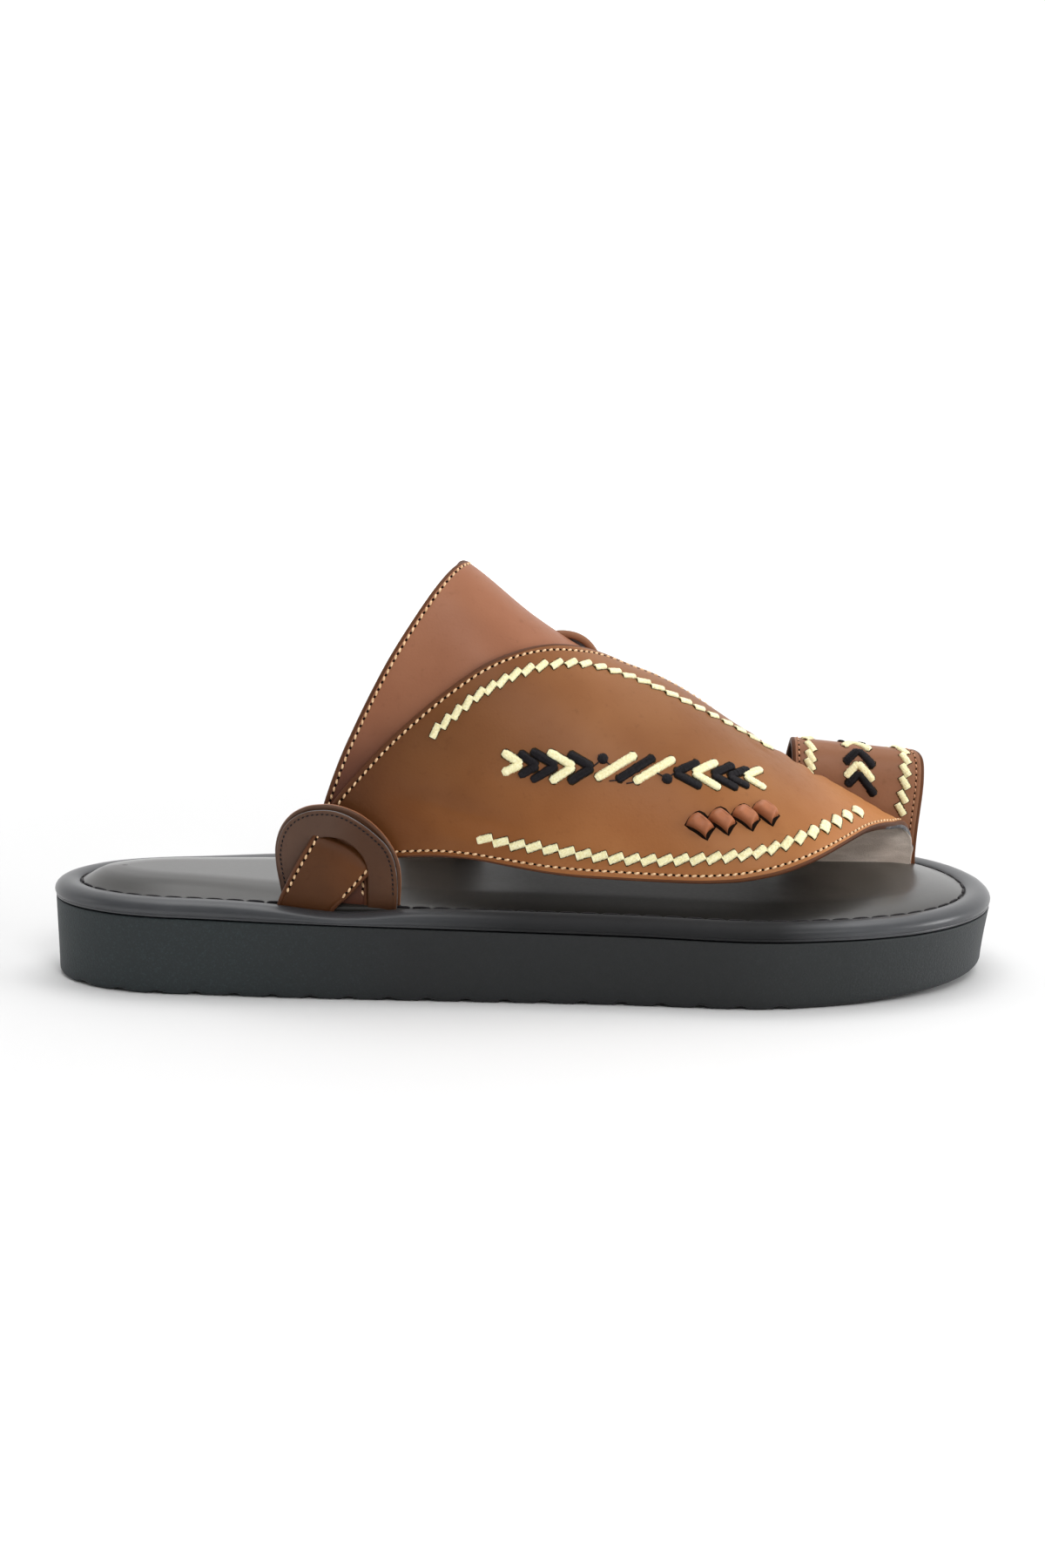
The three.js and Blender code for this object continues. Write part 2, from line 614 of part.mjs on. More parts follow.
const colours = {
  outsole: 0x33393c, edge_roll: 0x26272a, insole: 0x2b2c2f, upper: 0xa06c42,
  toe_ring: 0xa06c42, outer_ear: 0x5d3d29, inner_ear: 0x5d3d29,
};
const solids = {
  outsole,
  edge_roll: edgeRoll.subtract(cutters),
  insole: insole.subtract(cutters),
  upper,
  toe_ring: wall(ringGrid, ringLeather),
  outer_ear: ear(-1),
  inner_ear: ear(1),
};

const sandal = new THREE.Group();
for (const [name, solid] of Object.entries(solids)) {
  const made = solid.getMesh();
  const flat = new Float32Array(made.numVert * 3);
  for (let i = 0; i < made.numVert; i += 1) {
    flat.set(made.vertProperties.subarray(i * made.numProp, i * made.numProp + 3), i * 3);
  }
  const geometry = new THREE.BufferGeometry();
  geometry.setAttribute("position", new THREE.BufferAttribute(flat, 3));
  geometry.setIndex(new THREE.BufferAttribute(new Uint32Array(made.triVerts), 1));
  const mesh = new THREE.Mesh(geometry, new THREE.MeshStandardMaterial({ color: colours[name], roughness: 0.6 }));
  mesh.name = name;
  sandal.add(mesh);
}
const across = loop.map((p) => p.y);
sandal.position.set(-length / 2, -(Math.min(...across) + Math.max(...across)) / 2, 0);

export default sandal;
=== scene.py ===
import math
import bmesh
import bpy
import numpy as np
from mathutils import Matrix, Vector


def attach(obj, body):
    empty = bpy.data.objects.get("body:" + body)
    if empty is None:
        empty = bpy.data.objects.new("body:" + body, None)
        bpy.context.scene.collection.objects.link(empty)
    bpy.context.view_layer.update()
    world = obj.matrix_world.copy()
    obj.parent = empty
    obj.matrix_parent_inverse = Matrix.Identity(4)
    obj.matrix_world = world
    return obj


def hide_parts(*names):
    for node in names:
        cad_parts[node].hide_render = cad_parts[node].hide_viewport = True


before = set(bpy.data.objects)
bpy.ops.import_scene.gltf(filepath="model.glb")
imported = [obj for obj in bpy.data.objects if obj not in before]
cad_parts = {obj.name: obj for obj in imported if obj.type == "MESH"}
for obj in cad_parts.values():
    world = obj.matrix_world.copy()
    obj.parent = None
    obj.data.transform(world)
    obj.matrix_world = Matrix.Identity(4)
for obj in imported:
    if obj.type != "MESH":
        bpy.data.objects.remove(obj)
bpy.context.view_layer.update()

scene = bpy.context.scene

# A right-foot sandal seen from its outer side. Shapes are worked out in millimetres from the heel,
# with x to the toe, y to the inner side of the foot and z up; toRow() puts them in the frame's metres.
shift = np.array([-142.5, 0.2293, 0.0])


def toRow(points):
    return (np.asarray(points, float).reshape(-1, 3) + shift) * 0.001


# camera and light
view = {
    "aim": (-0.0003, 0.00023, 0.0574),
    "distance": 1.0,
    "azimuth": -1.0,
    "elevation": 13.0,
    "lens": 75.8,
}


def placeCamera(v):
    az, el = math.radians(v["azimuth"]), math.radians(v["elevation"])
    back = Vector((math.sin(az) * math.cos(el), -math.cos(az) * math.cos(el), math.sin(el)))
    data = bpy.data.cameras.new("camera")
    data.lens = v["lens"]
    data.sensor_width = 36
    data.sensor_fit = "AUTO"
    camera = bpy.data.objects.new("camera", data)
    camera.location = Vector(v["aim"]) + back * v["distance"]
    camera.rotation_euler = back.to_track_quat("Z", "Y").to_euler()
    scene.collection.objects.link(camera)
    scene.camera = camera


placeCamera(view)
scene.view_settings.view_transform = "Standard"
scene.view_settings.look = "None"

lighting = {
    # the room: where it starts and stops brightening from front to back, and how bright each side is
    "room": {"from": -0.35, "to": 0.45, "front": 0.25, "back": 1.15},
    # name: where, aimed at, size, watts
    "lamps": {
        "overhead": ((0.08, 0.15, 1.35), (0, 0, 0.03), 1.2, 8.5),
        "window": ((0.35, -1.2, 1.15), (0, 0, 0.05), 0.6, 8.8),
        "heel": ((-1.4, -0.2, 0.45), (-0.1, 0, 0.03), 0.6, 1.4),
        "toe": ((1.4, -0.3, 0.45), (0.1, 0, 0.03), 0.6, 9.5),
    },
}


def lightScene(v):
    world = bpy.data.worlds.new("room")
    world.use_nodes = True
    nodes, links = world.node_tree.nodes, world.node_tree.links
    around, parts, fade = (nodes.new("ShaderNode" + kind) for kind in ("TexCoord", "SeparateXYZ", "MapRange"))
    fade.interpolation_type = "SMOOTHSTEP"
    for socket, key in enumerate(("from", "to", "front", "back"), 1):
        fade.inputs[socket].default_value = v["room"][key]
    links.new(around.outputs["Generated"], parts.inputs[0])
    links.new(parts.outputs["Y"], fade.inputs[0])
    nodes["Background"].inputs["Color"].default_value = (1, 1, 1, 1)
    links.new(fade.outputs[0], nodes["Background"].inputs["Strength"])
    scene.world = world
    for name, (where, aim, size, power) in v["lamps"].items():
        data = bpy.data.lights.new(name, "AREA")
        data.shape = "DISK"
        data.size = size
        data.energy = power
        lamp = bpy.data.objects.new(name, data)
        lamp.location = where
        lamp.rotation_euler = (Vector(where) - Vector(aim)).to_track_quat("Z", "Y").to_euler()
        scene.collection.objects.link(lamp)


lightScene(lighting)
print("camera and light placed")


class Wire:
    # one socket of a material, so that shader maths reads as plain sums
    def __init__(self, finish, socket):
        self.finish, self.socket = finish, socket

    def sums(self, kind, a, b):
        return self.finish.node("ShaderNodeMath", {"operation": kind}, {0: a, 1: b})

    def __add__(self, other): return self.sums("ADD", self, other)
    def __radd__(self, other): return self.sums("ADD", other, self)
    def __sub__(self, other): return self.sums("SUBTRACT", self, other)
    def __rsub__(self, other): return self.sums("SUBTRACT", other, self)
    def __mul__(self, other): return self.sums("MULTIPLY", self, other)
    def __rmul__(self, other): return self.sums("MULTIPLY", other, self)
    def __truediv__(self, other): return self.sums("DIVIDE", self, other)
    def __rtruediv__(self, other): return self.sums("DIVIDE", other, self)


class Finish:
    # a material under construction, around its own Principled shader
    def __init__(self, name, **fixed):
        self.material = bpy.data.materials.new(name)
        self.material.use_nodes = True
        self.tree = self.material.node_tree
        self.shader = self.tree.nodes["Principled BSDF"]
        for socket, value in fixed.items():
            self.shader.inputs[socket.replace("_", " ")].default_value = value

    def node(self, kind, settings=None, sockets=None, out=0):
        made = self.tree.nodes.new(kind)
        for key, value in (settings or {}).items():
            if key == "stops":
                ramp = made.color_ramp
                while len(ramp.elements) < len(value):
                    ramp.elements.new(0.5)
                for element, (place, colour) in zip(ramp.elements, value):
                    element.position, element.color = place, (*colour, 1)
            else:
                setattr(made, key, value)
        for key, value in (sockets or {}).items():
            self.feed(made.inputs[key], value)
        return Wire(self, made.outputs[out])

    def feed(self, socket, value):
        if isinstance(value, Wire):
            self.tree.links.new(value.socket, socket)
        elif isinstance(value, tuple) and len(value) == 3 and socket.type == "RGBA":
            socket.default_value = (*value, 1)
        else:
            socket.default_value = value

    def shade(self, **links):
        for socket, value in links.items():
            self.feed(self.shader.inputs[socket.replace("_", " ")], value)
        return self.material

    # short ways to the nodes used most
    def place(self):
        return self.node("ShaderNodeTexCoord", out=3)

    def stretch(self, vector, scale, turn=(0, 0, 0)):
        return self.node("ShaderNodeMapping", sockets={"Vector": vector, "Scale": scale, "Rotation": turn})

    def noise(self, vector, scale, detail=3, rough=0.55):
        sockets = {"Vector": vector, "Scale": scale, "Detail": detail, "Roughness": rough}
        return self.node("ShaderNodeTexNoise", sockets=sockets)

    def cells(self, vector, scale):
        return self.node("ShaderNodeTexVoronoi", sockets={"Vector": vector, "Scale": scale})

    def axis(self, vector, which):
        return self.node("ShaderNodeSeparateXYZ", sockets={0: vector}, out=which)

    def ramp(self, value, stops):
        return self.node("ShaderNodeValToRGB", {"stops": stops}, {"Fac": value})

    def between(self, value, low, high):
        # 0 below low, 1 above high, and a soft step from one to the other
        smooth = {"interpolation_type": "SMOOTHSTEP"}
        return self.node("ShaderNodeMapRange", smooth, {0: value, 1: low, 2: high})

    def mix(self, share, a, b, kind="MIX"):
        made = self.tree.nodes.new("ShaderNodeMix")
        made.data_type, made.blend_type = "RGBA", kind
        for socket, value in ((made.inputs[0], share), (made.inputs[6], a), (made.inputs[7], b)):
            self.feed(socket, value)
        return Wire(self, made.outputs[2])

    def tint(self, colour, by):
        return self.mix(1.0, colour, by, "MULTIPLY")

    def bump(self, height, distance, strength=1.0):
        sockets = {"Height": height, "Distance": distance, "Strength": strength}
        return self.node("ShaderNodeBump", sockets=sockets)


hide = {
    # noise scales from the broad mottle down to the pores, and the depth of the grain in metres
    "mottle": 26, "fine": 420, "wrinkle": 900, "pores": 1300, "grain": 0.00004,
    # how far the fine mottle shows in the colour and in the gloss
    "fineShade": 0.3, "fineGloss": 0.16,
    # heights between which a leather is painted darker as shade: down into the ears, and up along the leaf's
    # ridge
    "sink": (0.06, 0.09), "rise": (0.048, 0.078),
    # the stretch of the sandal that a row of tones covers, behind and ahead of its middle
    "behind": 0.09, "ahead": 0.14, "ragged": 0.012,
}


def leather(name, deep, main, light, rough=0.46, gloss=0.34, tones=None, low=None, sink=None, rise=None):
    f = Finish(name, IOR=1.48, Specular_IOR_Level=gloss)
    here = f.place()
    broad = f.noise(here, hide["mottle"], 3, 0.5)
    fine = f.noise(here, hide["fine"], 4, 0.6)
    pores = f.cells(here, hide["pores"])
    wrinkle = f.noise(here, hide["wrinkle"], 5, 0.6)
    colour = f.mix(f.between(broad, 0.32, 0.7), main, light)
    colour = f.mix(f.between(fine, 0.55, 0.85) * hide["fineShade"], colour, deep)
    if tones is not None:
        # darker or paler zones from heel to toe; on the leaf, painted shade towards and inside the outer ear
        # and a painted highlight towards the toe
        x = f.axis(here, 0) + (broad - 0.5) * hide["ragged"]
        ahead = (x + hide["behind"]) / (hide["behind"] + hide["ahead"])
        colour = f.tint(colour, f.ramp(ahead, tones))
    if low is not None:
        # each small piece is darker down its lower left side: painted shade
        own = f.node("ShaderNodeTexCoord")
        corner = f.axis(own, 2) + f.axis(own, 0) * 0.75
        colour = f.mix(f.between(corner, 0.25, 0.95), f.tint(colour, low), colour)
    if sink is not None:
        # the straps are darker where they go down through the ears: painted shade inside their openings
        colour = f.mix(f.between(f.axis(here, 2), *hide["sink"]), f.tint(colour, sink), colour)
    if rise is not None:
        # the leaf is darker again up along its ridge: painted shade
        colour = f.mix(f.between(f.axis(here, 2), *hide["rise"]), colour, f.tint(colour, rise))
    return f.shade(
        Base_Color=colour,
        Roughness=rough + (fine - 0.5) * hide["fineGloss"],
        Normal=f.bump(wrinkle * 0.6 + pores * 0.5, hide["grain"]),
    )


underStrapShade = {
    # painted shade on the sole's leather under the straps, from heel to toe: the shade comes on, and goes off
    "on": (-0.055, 0.006), "off": (0.07, 0.106), "ragged": 0.02,
    "colour": (0.006, 0.0055, 0.005), "share": 0.7, "rougher": 0.15,
}


def soleLeather(name, dark, main, rough, coat):
    # half-gloss black leather, painted darker as shade under the straps, and duller there
    f = Finish(name, IOR=1.5, Specular_IOR_Level=0.15, Coat_Roughness=0.32, Coat_IOR=1.5)
    here = f.place()
    broad = f.noise(here, 30, 3, 0.5)
    fine = f.noise(here, 700, 4, 0.6)
    x = f.axis(here, 0) + (broad - 0.5) * underStrapShade["ragged"]
    # the share of painted shade under the straps
    shaded = f.between(x, *underStrapShade["on"]) - f.between(x, *underStrapShade["off"])
    colour = f.mix(f.between(broad, 0.3, 0.7), dark, main)
    return f.shade(
        Base_Color=f.mix(shaded * underStrapShade["share"], colour, underStrapShade["colour"]),
        Roughness=rough + (fine - 0.5) * 0.1 + shaded * underStrapShade["rougher"],
        Coat_Weight=coat - shaded * coat,
        Normal=f.bump(fine, 0.000015),
    )


moulding = {
    "dark": (0.019, 0.0215, 0.023), "pale": (0.046, 0.05, 0.054), "stain": (0.013, 0.019, 0.02),
    # pebbles per metre, and their depth in metres
    "pebbles": 1500, "depth": 0.00009,
    # tones along the wall, from heel to toe, over this length: painted shade through the middle, and painted
    # light towards the heel, tinted teal, and towards the toe
    "length": 0.28,
    "tones": [
        (0.0, (0.55, 0.78, 0.81)), (0.18, (0.48, 0.68, 0.7)), (0.38, (0.28, 0.3, 0.32)),
        (0.7, (0.3, 0.31, 0.32)), (0.86, (0.6, 0.63, 0.62)), (1.0, (1.15, 1.15, 1.15)),
    ],
}


def rubber(name):
    f = Finish(name, IOR=1.5)
    here = f.place()
    speck = f.noise(here, moulding["pebbles"], 2, 0.7)
    pebble = f.cells(here, moulding["pebbles"])
    broad = f.noise(here, 14, 2, 0.5)
    colour = f.mix(f.between(speck, 0.45, 0.8), moulding["dark"], moulding["pale"])
    colour = f.mix(f.between(broad, 0.35, 0.7) * 0.35, colour, moulding["stain"])
    x = f.axis(here, 0) + (broad - 0.5) * 0.03
    ahead = (x + moulding["length"] / 2) / moulding["length"]
    # painted shade and light along the wall
    colour = f.tint(colour, f.ramp(ahead, moulding["tones"]))
    return f.shade(
        Base_Color=colour,
        Roughness=0.62 + (speck - 0.5) * 0.2,
        Normal=f.bump(pebble + speck * 0.6, moulding["depth"], 0.8),
    )


def suede(name, deep, main, light):
    # the straps' fuzzy back, brushed in slanting streaks
    f = Finish(name, Specular_IOR_Level=0.15)
    here = f.place()
    brushed = f.stretch(here, (60, 500, 240), (0, math.radians(38), 0))
    streak = f.noise(brushed, 1.0, 4, 0.6)
    fuzz = f.noise(here, 2600, 3, 0.7)
    colour = f.mix(f.between(streak, 0.35, 0.7), main, light)
    colour = f.mix(f.between(fuzz, 0.5, 0.8) * 0.4, colour, deep)
    return f.shade(Base_Color=colour, Roughness=0.9, Normal=f.bump(fuzz + streak * 0.5, 0.00012))


def thread(name, deep, light, rough=0.42, gloss=0.4):
    f = Finish(name, Specular_IOR_Level=gloss)
    strand = f.noise(f.place(), 1800, 2, 0.6)
    return f.shade(Base_Color=f.mix(f.between(strand, 0.3, 0.7), deep, light), Roughness=rough)


finishes = {
    # the leaf: its tones paint shade towards and inside the outer ear and a highlight towards the toe, and
    # its rise paints shade up along the ridge
    "strap": leather("strap leather", (0.18, 0.06, 0.018), (0.39, 0.144, 0.042), (0.475, 0.195, 0.066),
                     gloss=0.2, rise=(0.74, 0.76, 0.84), tones=[
                         (0.0, (0.17, 0.15, 0.14)), (0.13, (0.19, 0.17, 0.16)), (0.22, (0.38, 0.33, 0.27)),
                         (0.34, (0.56, 0.52, 0.46)), (0.5, (0.73, 0.71, 0.7)), (0.72, (0.7, 0.7, 0.69)),
                         (0.83, (1, 1.08, 1.2)), (1.0, (1, 1.08, 1.2))]),
    # painted shade where the panel goes down into the ears
    "panel": leather("panel leather", (0.12, 0.045, 0.022), (0.258, 0.1, 0.05), (0.31, 0.129, 0.068),
                     gloss=0.22, sink=(0.36, 0.3, 0.31)),
    "ring": leather("ring leather", (0.1, 0.038, 0.016), (0.24, 0.1, 0.048), (0.3, 0.135, 0.07), gloss=0.25),
    # the rim of the ear's rear layer: partly its own orange-brown, partly a painted highlight
    "rim": leather("ear rim", (0.12, 0.045, 0.022), (0.26, 0.105, 0.05), (0.34, 0.145, 0.075),
                   rough=0.38, gloss=0.4),
    "fray": suede("cut ear edge", (0.03, 0.028, 0.03), (0.1, 0.1, 0.105), (0.24, 0.235, 0.235)),
    "ear": leather("ear leather", (0.04, 0.016, 0.008), (0.1, 0.047, 0.026), (0.14, 0.069, 0.04),
                   rough=0.42, gloss=0.25, tones=[
                       (0.0, (0.8, 0.86, 0.95)), (0.14, (0.8, 0.86, 0.95)),
                       (0.175, (0.72, 0.6, 0.45)), (0.26, (0.72, 0.6, 0.45))]),
    # painted shade down each puff's lower left side
    "puff": leather("woven leather", (0.12, 0.04, 0.016), (0.3, 0.1, 0.04), (0.38, 0.135, 0.058),
                    gloss=0.3, low=(0.16, 0.13, 0.12)),
    # the straps' edges, painted dark as shade
    "edge": leather("edge shade", (0.03, 0.01, 0.005), (0.085, 0.03, 0.012), (0.12, 0.045, 0.019),
                    rough=0.5, gloss=0.15),
    "pad": soleLeather("insole leather", (0.018, 0.0165, 0.014), (0.028, 0.0255, 0.0215), 0.45, 0.95),
    "roll": soleLeather("edge leather", (0.034, 0.036, 0.04), (0.052, 0.054, 0.059), 0.48, 0.75),
    "rubber": rubber("moulded rubber"),
    # two copies of the one suede lining: a pale one, painted light, under the straps, and a dark one, painted
    # shade, inside the ring and the keeper
    "lining": suede("suede lining", (0.26, 0.2, 0.165), (0.51, 0.42, 0.355), (0.72, 0.62, 0.54)),
    "inside": suede("inner lining", (0.02, 0.012, 0.008), (0.05, 0.034, 0.026), (0.08, 0.058, 0.045)),
    "tan": thread("tan thread", (0.45, 0.2, 0.1), (0.72, 0.42, 0.25)),
    "cream": thread("cream thread", (0.62, 0.36, 0.17), (0.92, 0.66, 0.4)),
    "gold": thread("gold thread", (0.86, 0.78, 0.42), (0.99, 0.95, 0.66), 0.4),
    "black": thread("black thread", (0.004, 0.003, 0.004), (0.012, 0.0095, 0.012), 0.5, gloss=0.2),
    # dark beads and plates: painted shade in needle holes, and in the slits and below the puffs
    "hole": thread("needle hole", (0.006, 0.003, 0.002), (0.012, 0.007, 0.004), 0.9, gloss=0.05),
    # a dark plate under each figure: painted shade round the raised threads
    "backing": thread("embroidery shade", (0.03, 0.018, 0.006), (0.05, 0.03, 0.011), 0.8, gloss=0.1),
}
print("materials made")


def makePiece(name, points, faces, finish, kinds=None):
    # kinds says which of the finishes each face has
    mesh = bpy.data.meshes.new(name)
    mesh.from_pydata(toRow(points).tolist(), [], [tuple(int(v) for v in f) for f in faces])
    for key in ([finish] if isinstance(finish, str) else finish):
        mesh.materials.append(finishes[key])
    if kinds is not None:
        mesh.polygons.foreach_set("material_index", np.asarray(kinds, dtype=np.int32))
    mesh.polygons.foreach_set("use_smooth", [True] * len(mesh.polygons))
    shape = bmesh.new()
    shape.from_mesh(mesh)
    bmesh.ops.recalc_face_normals(shape, faces=shape.faces)
    shape.to_mesh(mesh)
    shape.free()
    mesh.update()
    piece = bpy.data.objects.new(name, mesh)
    scene.collection.objects.link(piece)
    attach(piece, "root")
    return piece


def bend(t):
    # the shares of a curve's two ends and of its slopes there
    return 2 * t**3 - 3 * t * t + 1, t**3 - 2 * t * t + t, 3 * t * t - 2 * t**3, t**3 - t * t


def along(at, values, x):
    # a smooth curve through a table's column
    at, values = np.asarray(at, float), np.asarray(values, float)
    rise = np.diff(values) / np.diff(at)
    tilt = np.concatenate([[rise[0]], (rise[:-1] + rise[1:]) / 2, [rise[-1]]])
    x = np.clip(x, at[0], at[-1])
    i = np.clip(np.searchsorted(at, x) - 1, 0, len(at) - 2)
    h = at[i + 1] - at[i]
    start, leave, end, arrive = bend((x - at[i]) / h)
    return start * values[i] + leave * h * tilt[i] + end * values[i + 1] + arrive * h * tilt[i + 1]


def refine(rows, times):
    # smooth rows through the given ones, (times) steps from each to the next
    rows = np.asarray(rows, float)
    tilt = np.gradient(rows, axis=0)
    out = []
    for i in range(len(rows) - 1):
        for k in range(times):
            start, leave, end, arrive = bend(k / times)
            out.append(start * rows[i] + leave * tilt[i] + end * rows[i + 1] + arrive * tilt[i + 1])
    out.append(rows[-1])
    return np.array(out)


def unit(v):
    return v / np.maximum(np.linalg.norm(v, axis=-1, keepdims=True), 1e-9)


def gridNormals(grid):
    return unit(np.cross(np.gradient(grid, axis=1), np.gradient(grid, axis=0)))


def sampler(line, values):
    # reads values laid along a line, at any distance from the line's start
    run = np.concatenate([[0], np.cumsum(np.linalg.norm(np.diff(line, axis=0), axis=1))])
    return run[-1], lambda s: np.stack([np.interp(s, run, values[:, k]) for k in range(3)], -1)


def ringFaces(rows, count, wrap=False):
    # quads between rings of (count) points
    faces = []
    for r in range(rows if wrap else rows - 1):
        s = (r + 1) % rows
        for i in range(count):
            j = (i + 1) % count
            faces.append((r * count + i, r * count + j, s * count + j, s * count + i))
    return faces


sole = {
    "length": 285, "ballWidth": 101, "heelRound": 38, "toeRound": 49,
    "heelHeight": 24, "ballHeight": 20.2, "padHeight": 7.3,
    # how far the toe springs up, from which share of the length, and how sharply
    "toeSpring": 3.3, "springFrom": 0.75, "springCurve": 1.7,
    # how far the wall leans in at its foot, its lower corner's radius and the roll's overhang
    "heelTaper": 0.5, "toeTaper": 2.3, "edge": 2, "overhang": 0.4,
    "wallLevels": (0.15, 0.3, 0.45, 0.6, 0.75, 0.88, 0.96), "wallCurve": 1.2,
    # the rubber's top edge: inset, as a share of the overhang, and depth below the top
    "topEdge": [(1.1, 0.25), (1.5, 0.05), (3.0, 0.0)],
    # the grooves across the underside, up to a share of the length, and how far they show in the wall
    "grooveStep": 11.5, "grooveWidth": 5, "grooveDepth": 1.2, "grooveEnd": 0.765, "grooveShows": 0.4,
    # place, outer and inner half width as shares of the ball's width
    "outline": [
        (0, 0.286, 0.27), (0.12, 0.297, 0.277), (0.25, 0.347, 0.337), (0.42, 0.396, 0.376),
        (0.6, 0.446, 0.436), (0.75, 0.5, 0.485), (0.88, 0.447, 0.492), (1, 0.436, 0.48),
    ],
}
outlineAt, outlineOuter, outlineInner = (np.array(c) for c in zip(*sole["outline"]))


def soleTop(x):
    t = np.clip((np.asarray(x, float) / sole["length"] - 0.05) / 0.85, 0, 1)
    return sole["heelHeight"] + (sole["ballHeight"] - sole["heelHeight"]) * t


def insoleTop(x):
    return soleTop(x) + sole["padHeight"]


def halfWidth(x, side):
    behind = np.maximum(sole["heelRound"] - x, 0) / sole["heelRound"]
    ahead = np.maximum(x - (sole["length"] - sole["toeRound"]), 0) / sole["toeRound"]
    rounded = np.sqrt(np.maximum(1 - behind**2, 0)) * np.sqrt(np.maximum(1 - ahead**2, 0))
    values = outlineOuter if side < 0 else outlineInner
    return side * sole["ballWidth"] * along(outlineAt, values, x / sole["length"]) * rounded


def makeStations(ends, middle):
    heel, toe, length = sole["heelRound"], sole["toeRound"], sole["length"]
    a = np.linspace(0, math.pi / 2, ends + 1)
    return np.concatenate([
        heel * (1 - np.cos(a)),
        heel + (length - heel - toe) * np.arange(1, middle) / middle,
        length - toe + toe * np.sin(a),
    ])


class Outline:
    # the sole's edge as a loop, up the outer side and back down the inner one
    def __init__(self, ends, middle):
        self.x = makeStations(ends, middle)
        self.m = len(self.x)
        outer = np.stack([self.x, halfWidth(self.x, -1)], 1)
        inner = np.stack([self.x[1:-1][::-1], halfWidth(self.x[1:-1][::-1], 1)], 1)
        self.loop = np.concatenate([outer, inner])
        self.n = len(self.loop)
        d = unit(np.roll(self.loop, -1, 0) - np.roll(self.loop, 1, 0))
        self.inward = np.stack([-d[:, 1], d[:, 0]], 1)

    def drawnIn(self, inset):
        return self.loop + self.inward * np.reshape(inset * np.ones(self.n), (-1, 1))


edge = Outline(40, 220)
share = edge.loop[:, 0] / sole["length"]


def spring(x):
    beyond = (x / sole["length"] - sole["springFrom"]) / (1 - sole["springFrom"])
    return sole["toeSpring"] * np.maximum(beyond, 0)**sole["springCurve"]


def tread(x):
    # the grooves that cross the underside
    step, width, depth = sole["grooveStep"], sole["grooveWidth"], sole["grooveDepth"]
    first = step * 0.85
    centre = first + np.round((x - first) / step) * step
    across = np.abs(x - centre) / (width / 2)
    grooved = (centre < sole["length"] * sole["grooveEnd"]) & (centre > 0)
    return np.where(grooved, depth * np.clip(1 - across**2, 0, 1), 0)


def closeLoop(points, faces, base, first, across, under=False):
    # fills a loop of the sole with rows of quads from its outer to its inner side
    n, m = edge.n, edge.m
    ladder = []
    for i in range(m):
        if i in (0, m - 1):
            ladder.append([first + i] * (across + 1))
            continue
        a, b = base[i], base[n - i]
        row = [first + i]
        for k in range(1, across):
            p = a + (b - a) * k / across
            if under:
                p[2] = spring(p[0]) + tread(p[0])
            row.append(len(points))
            points.append(p)
        ladder.append(row + [first + n - i])
    for near, far in zip(ladder, ladder[1:]):
        for k in range(across):
            # a quad that comes to a point at heel or toe is a triangle
            quad = tuple(dict.fromkeys((near[k], far[k], far[k + 1], near[k + 1])))
            if len(quad) > 2:
                faces.append(quad)


def makeOutsole():
    taper = sole["overhang"] + sole["heelTaper"] + (sole["toeTaper"] - sole["heelTaper"]) * share
    rings = []
    for a in np.linspace(0, math.pi / 2, 7):
        flat = edge.drawnIn(taper + sole["edge"] * (1 - math.sin(a)))
        groove = tread(flat[:, 0])
        rounded = sole["edge"] * (1 - math.cos(a)) + sole["grooveShows"] * groove
        rings.append(np.column_stack([flat, spring(flat[:, 0]) + np.maximum(rounded, groove)]))
    for t in sole["wallLevels"]:
        flat = edge.drawnIn(taper + (sole["overhang"] - taper) * t**sole["wallCurve"])
        low = spring(flat[:, 0]) + sole["edge"]
        rings.append(np.column_stack([flat, low + (soleTop(flat[:, 0]) - low) * t]))
    for inset, down in sole["topEdge"]:
        flat = edge.drawnIn(sole["overhang"] * inset)
        rings.append(np.column_stack([flat, soleTop(flat[:, 0]) - down]))
    points = list(np.concatenate(rings))
    faces = ringFaces(len(rings), edge.n)
    closeLoop(points, faces, rings[0], 0, 9, under=True)
    closeLoop(points, faces, rings[-1], (len(rings) - 1) * edge.n, 9)
    piece = makePiece("outsoleSkin", np.array(points), faces, "rubber")
    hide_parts("outsole")


makeOutsole()
print("outsole made")


roll = {
    # the roll dips beside each ear: how deep, how far along, and where the ears are
    "dip": 2.3, "dipReach": 0.06, "height": 5.4, "gap": 0.3, "outerEar": 0.3055, "innerEar": 0.393,
    # inset and height over the outsole, once around the section
    "section": [
        (7.95, 0.35), (8.0, 2.5), (7.95, 4.1), (7.5, 4.72), (6.6, 5.08), (5.5, 5.3), (4.4, 5.4),
        (3.3, 5.3), (2.3, 5.0), (1.4, 4.5), (0.7, 3.85), (0.25, 3.1), (0.06, 2.4), (0.12, 1.8),
        (0.4, 1.32), (0.55, 1.22), (0.42, 1.08), (0.36, 0.8), (0.5, 0.5), (1.1, 0.35), (3.0, 0.32),
    ],
}


def makeRoll():
    inset, high = (np.array(c) for c in zip(*roll["section"]))
    ears = np.where(edge.loop[:, 1] < 0, roll["outerEar"], roll["innerEar"])
    dip = np.exp(-((share - ears) / roll["dipReach"])**2)
    rings = []
    for i, z in zip(inset, high):
        flat = edge.drawnIn(i)
        lowered = z - roll["dip"] * dip * max(z - roll["gap"], 0) / roll["height"]
        rings.append(np.column_stack([flat, soleTop(edge.loop[:, 0]) + lowered]))
    faces = [f[::-1] for f in ringFaces(len(rings), edge.n, wrap=True)]
    piece = makePiece("rollSkin", np.concatenate(rings), faces, "roll")
    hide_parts("edge_roll")


makeRoll()

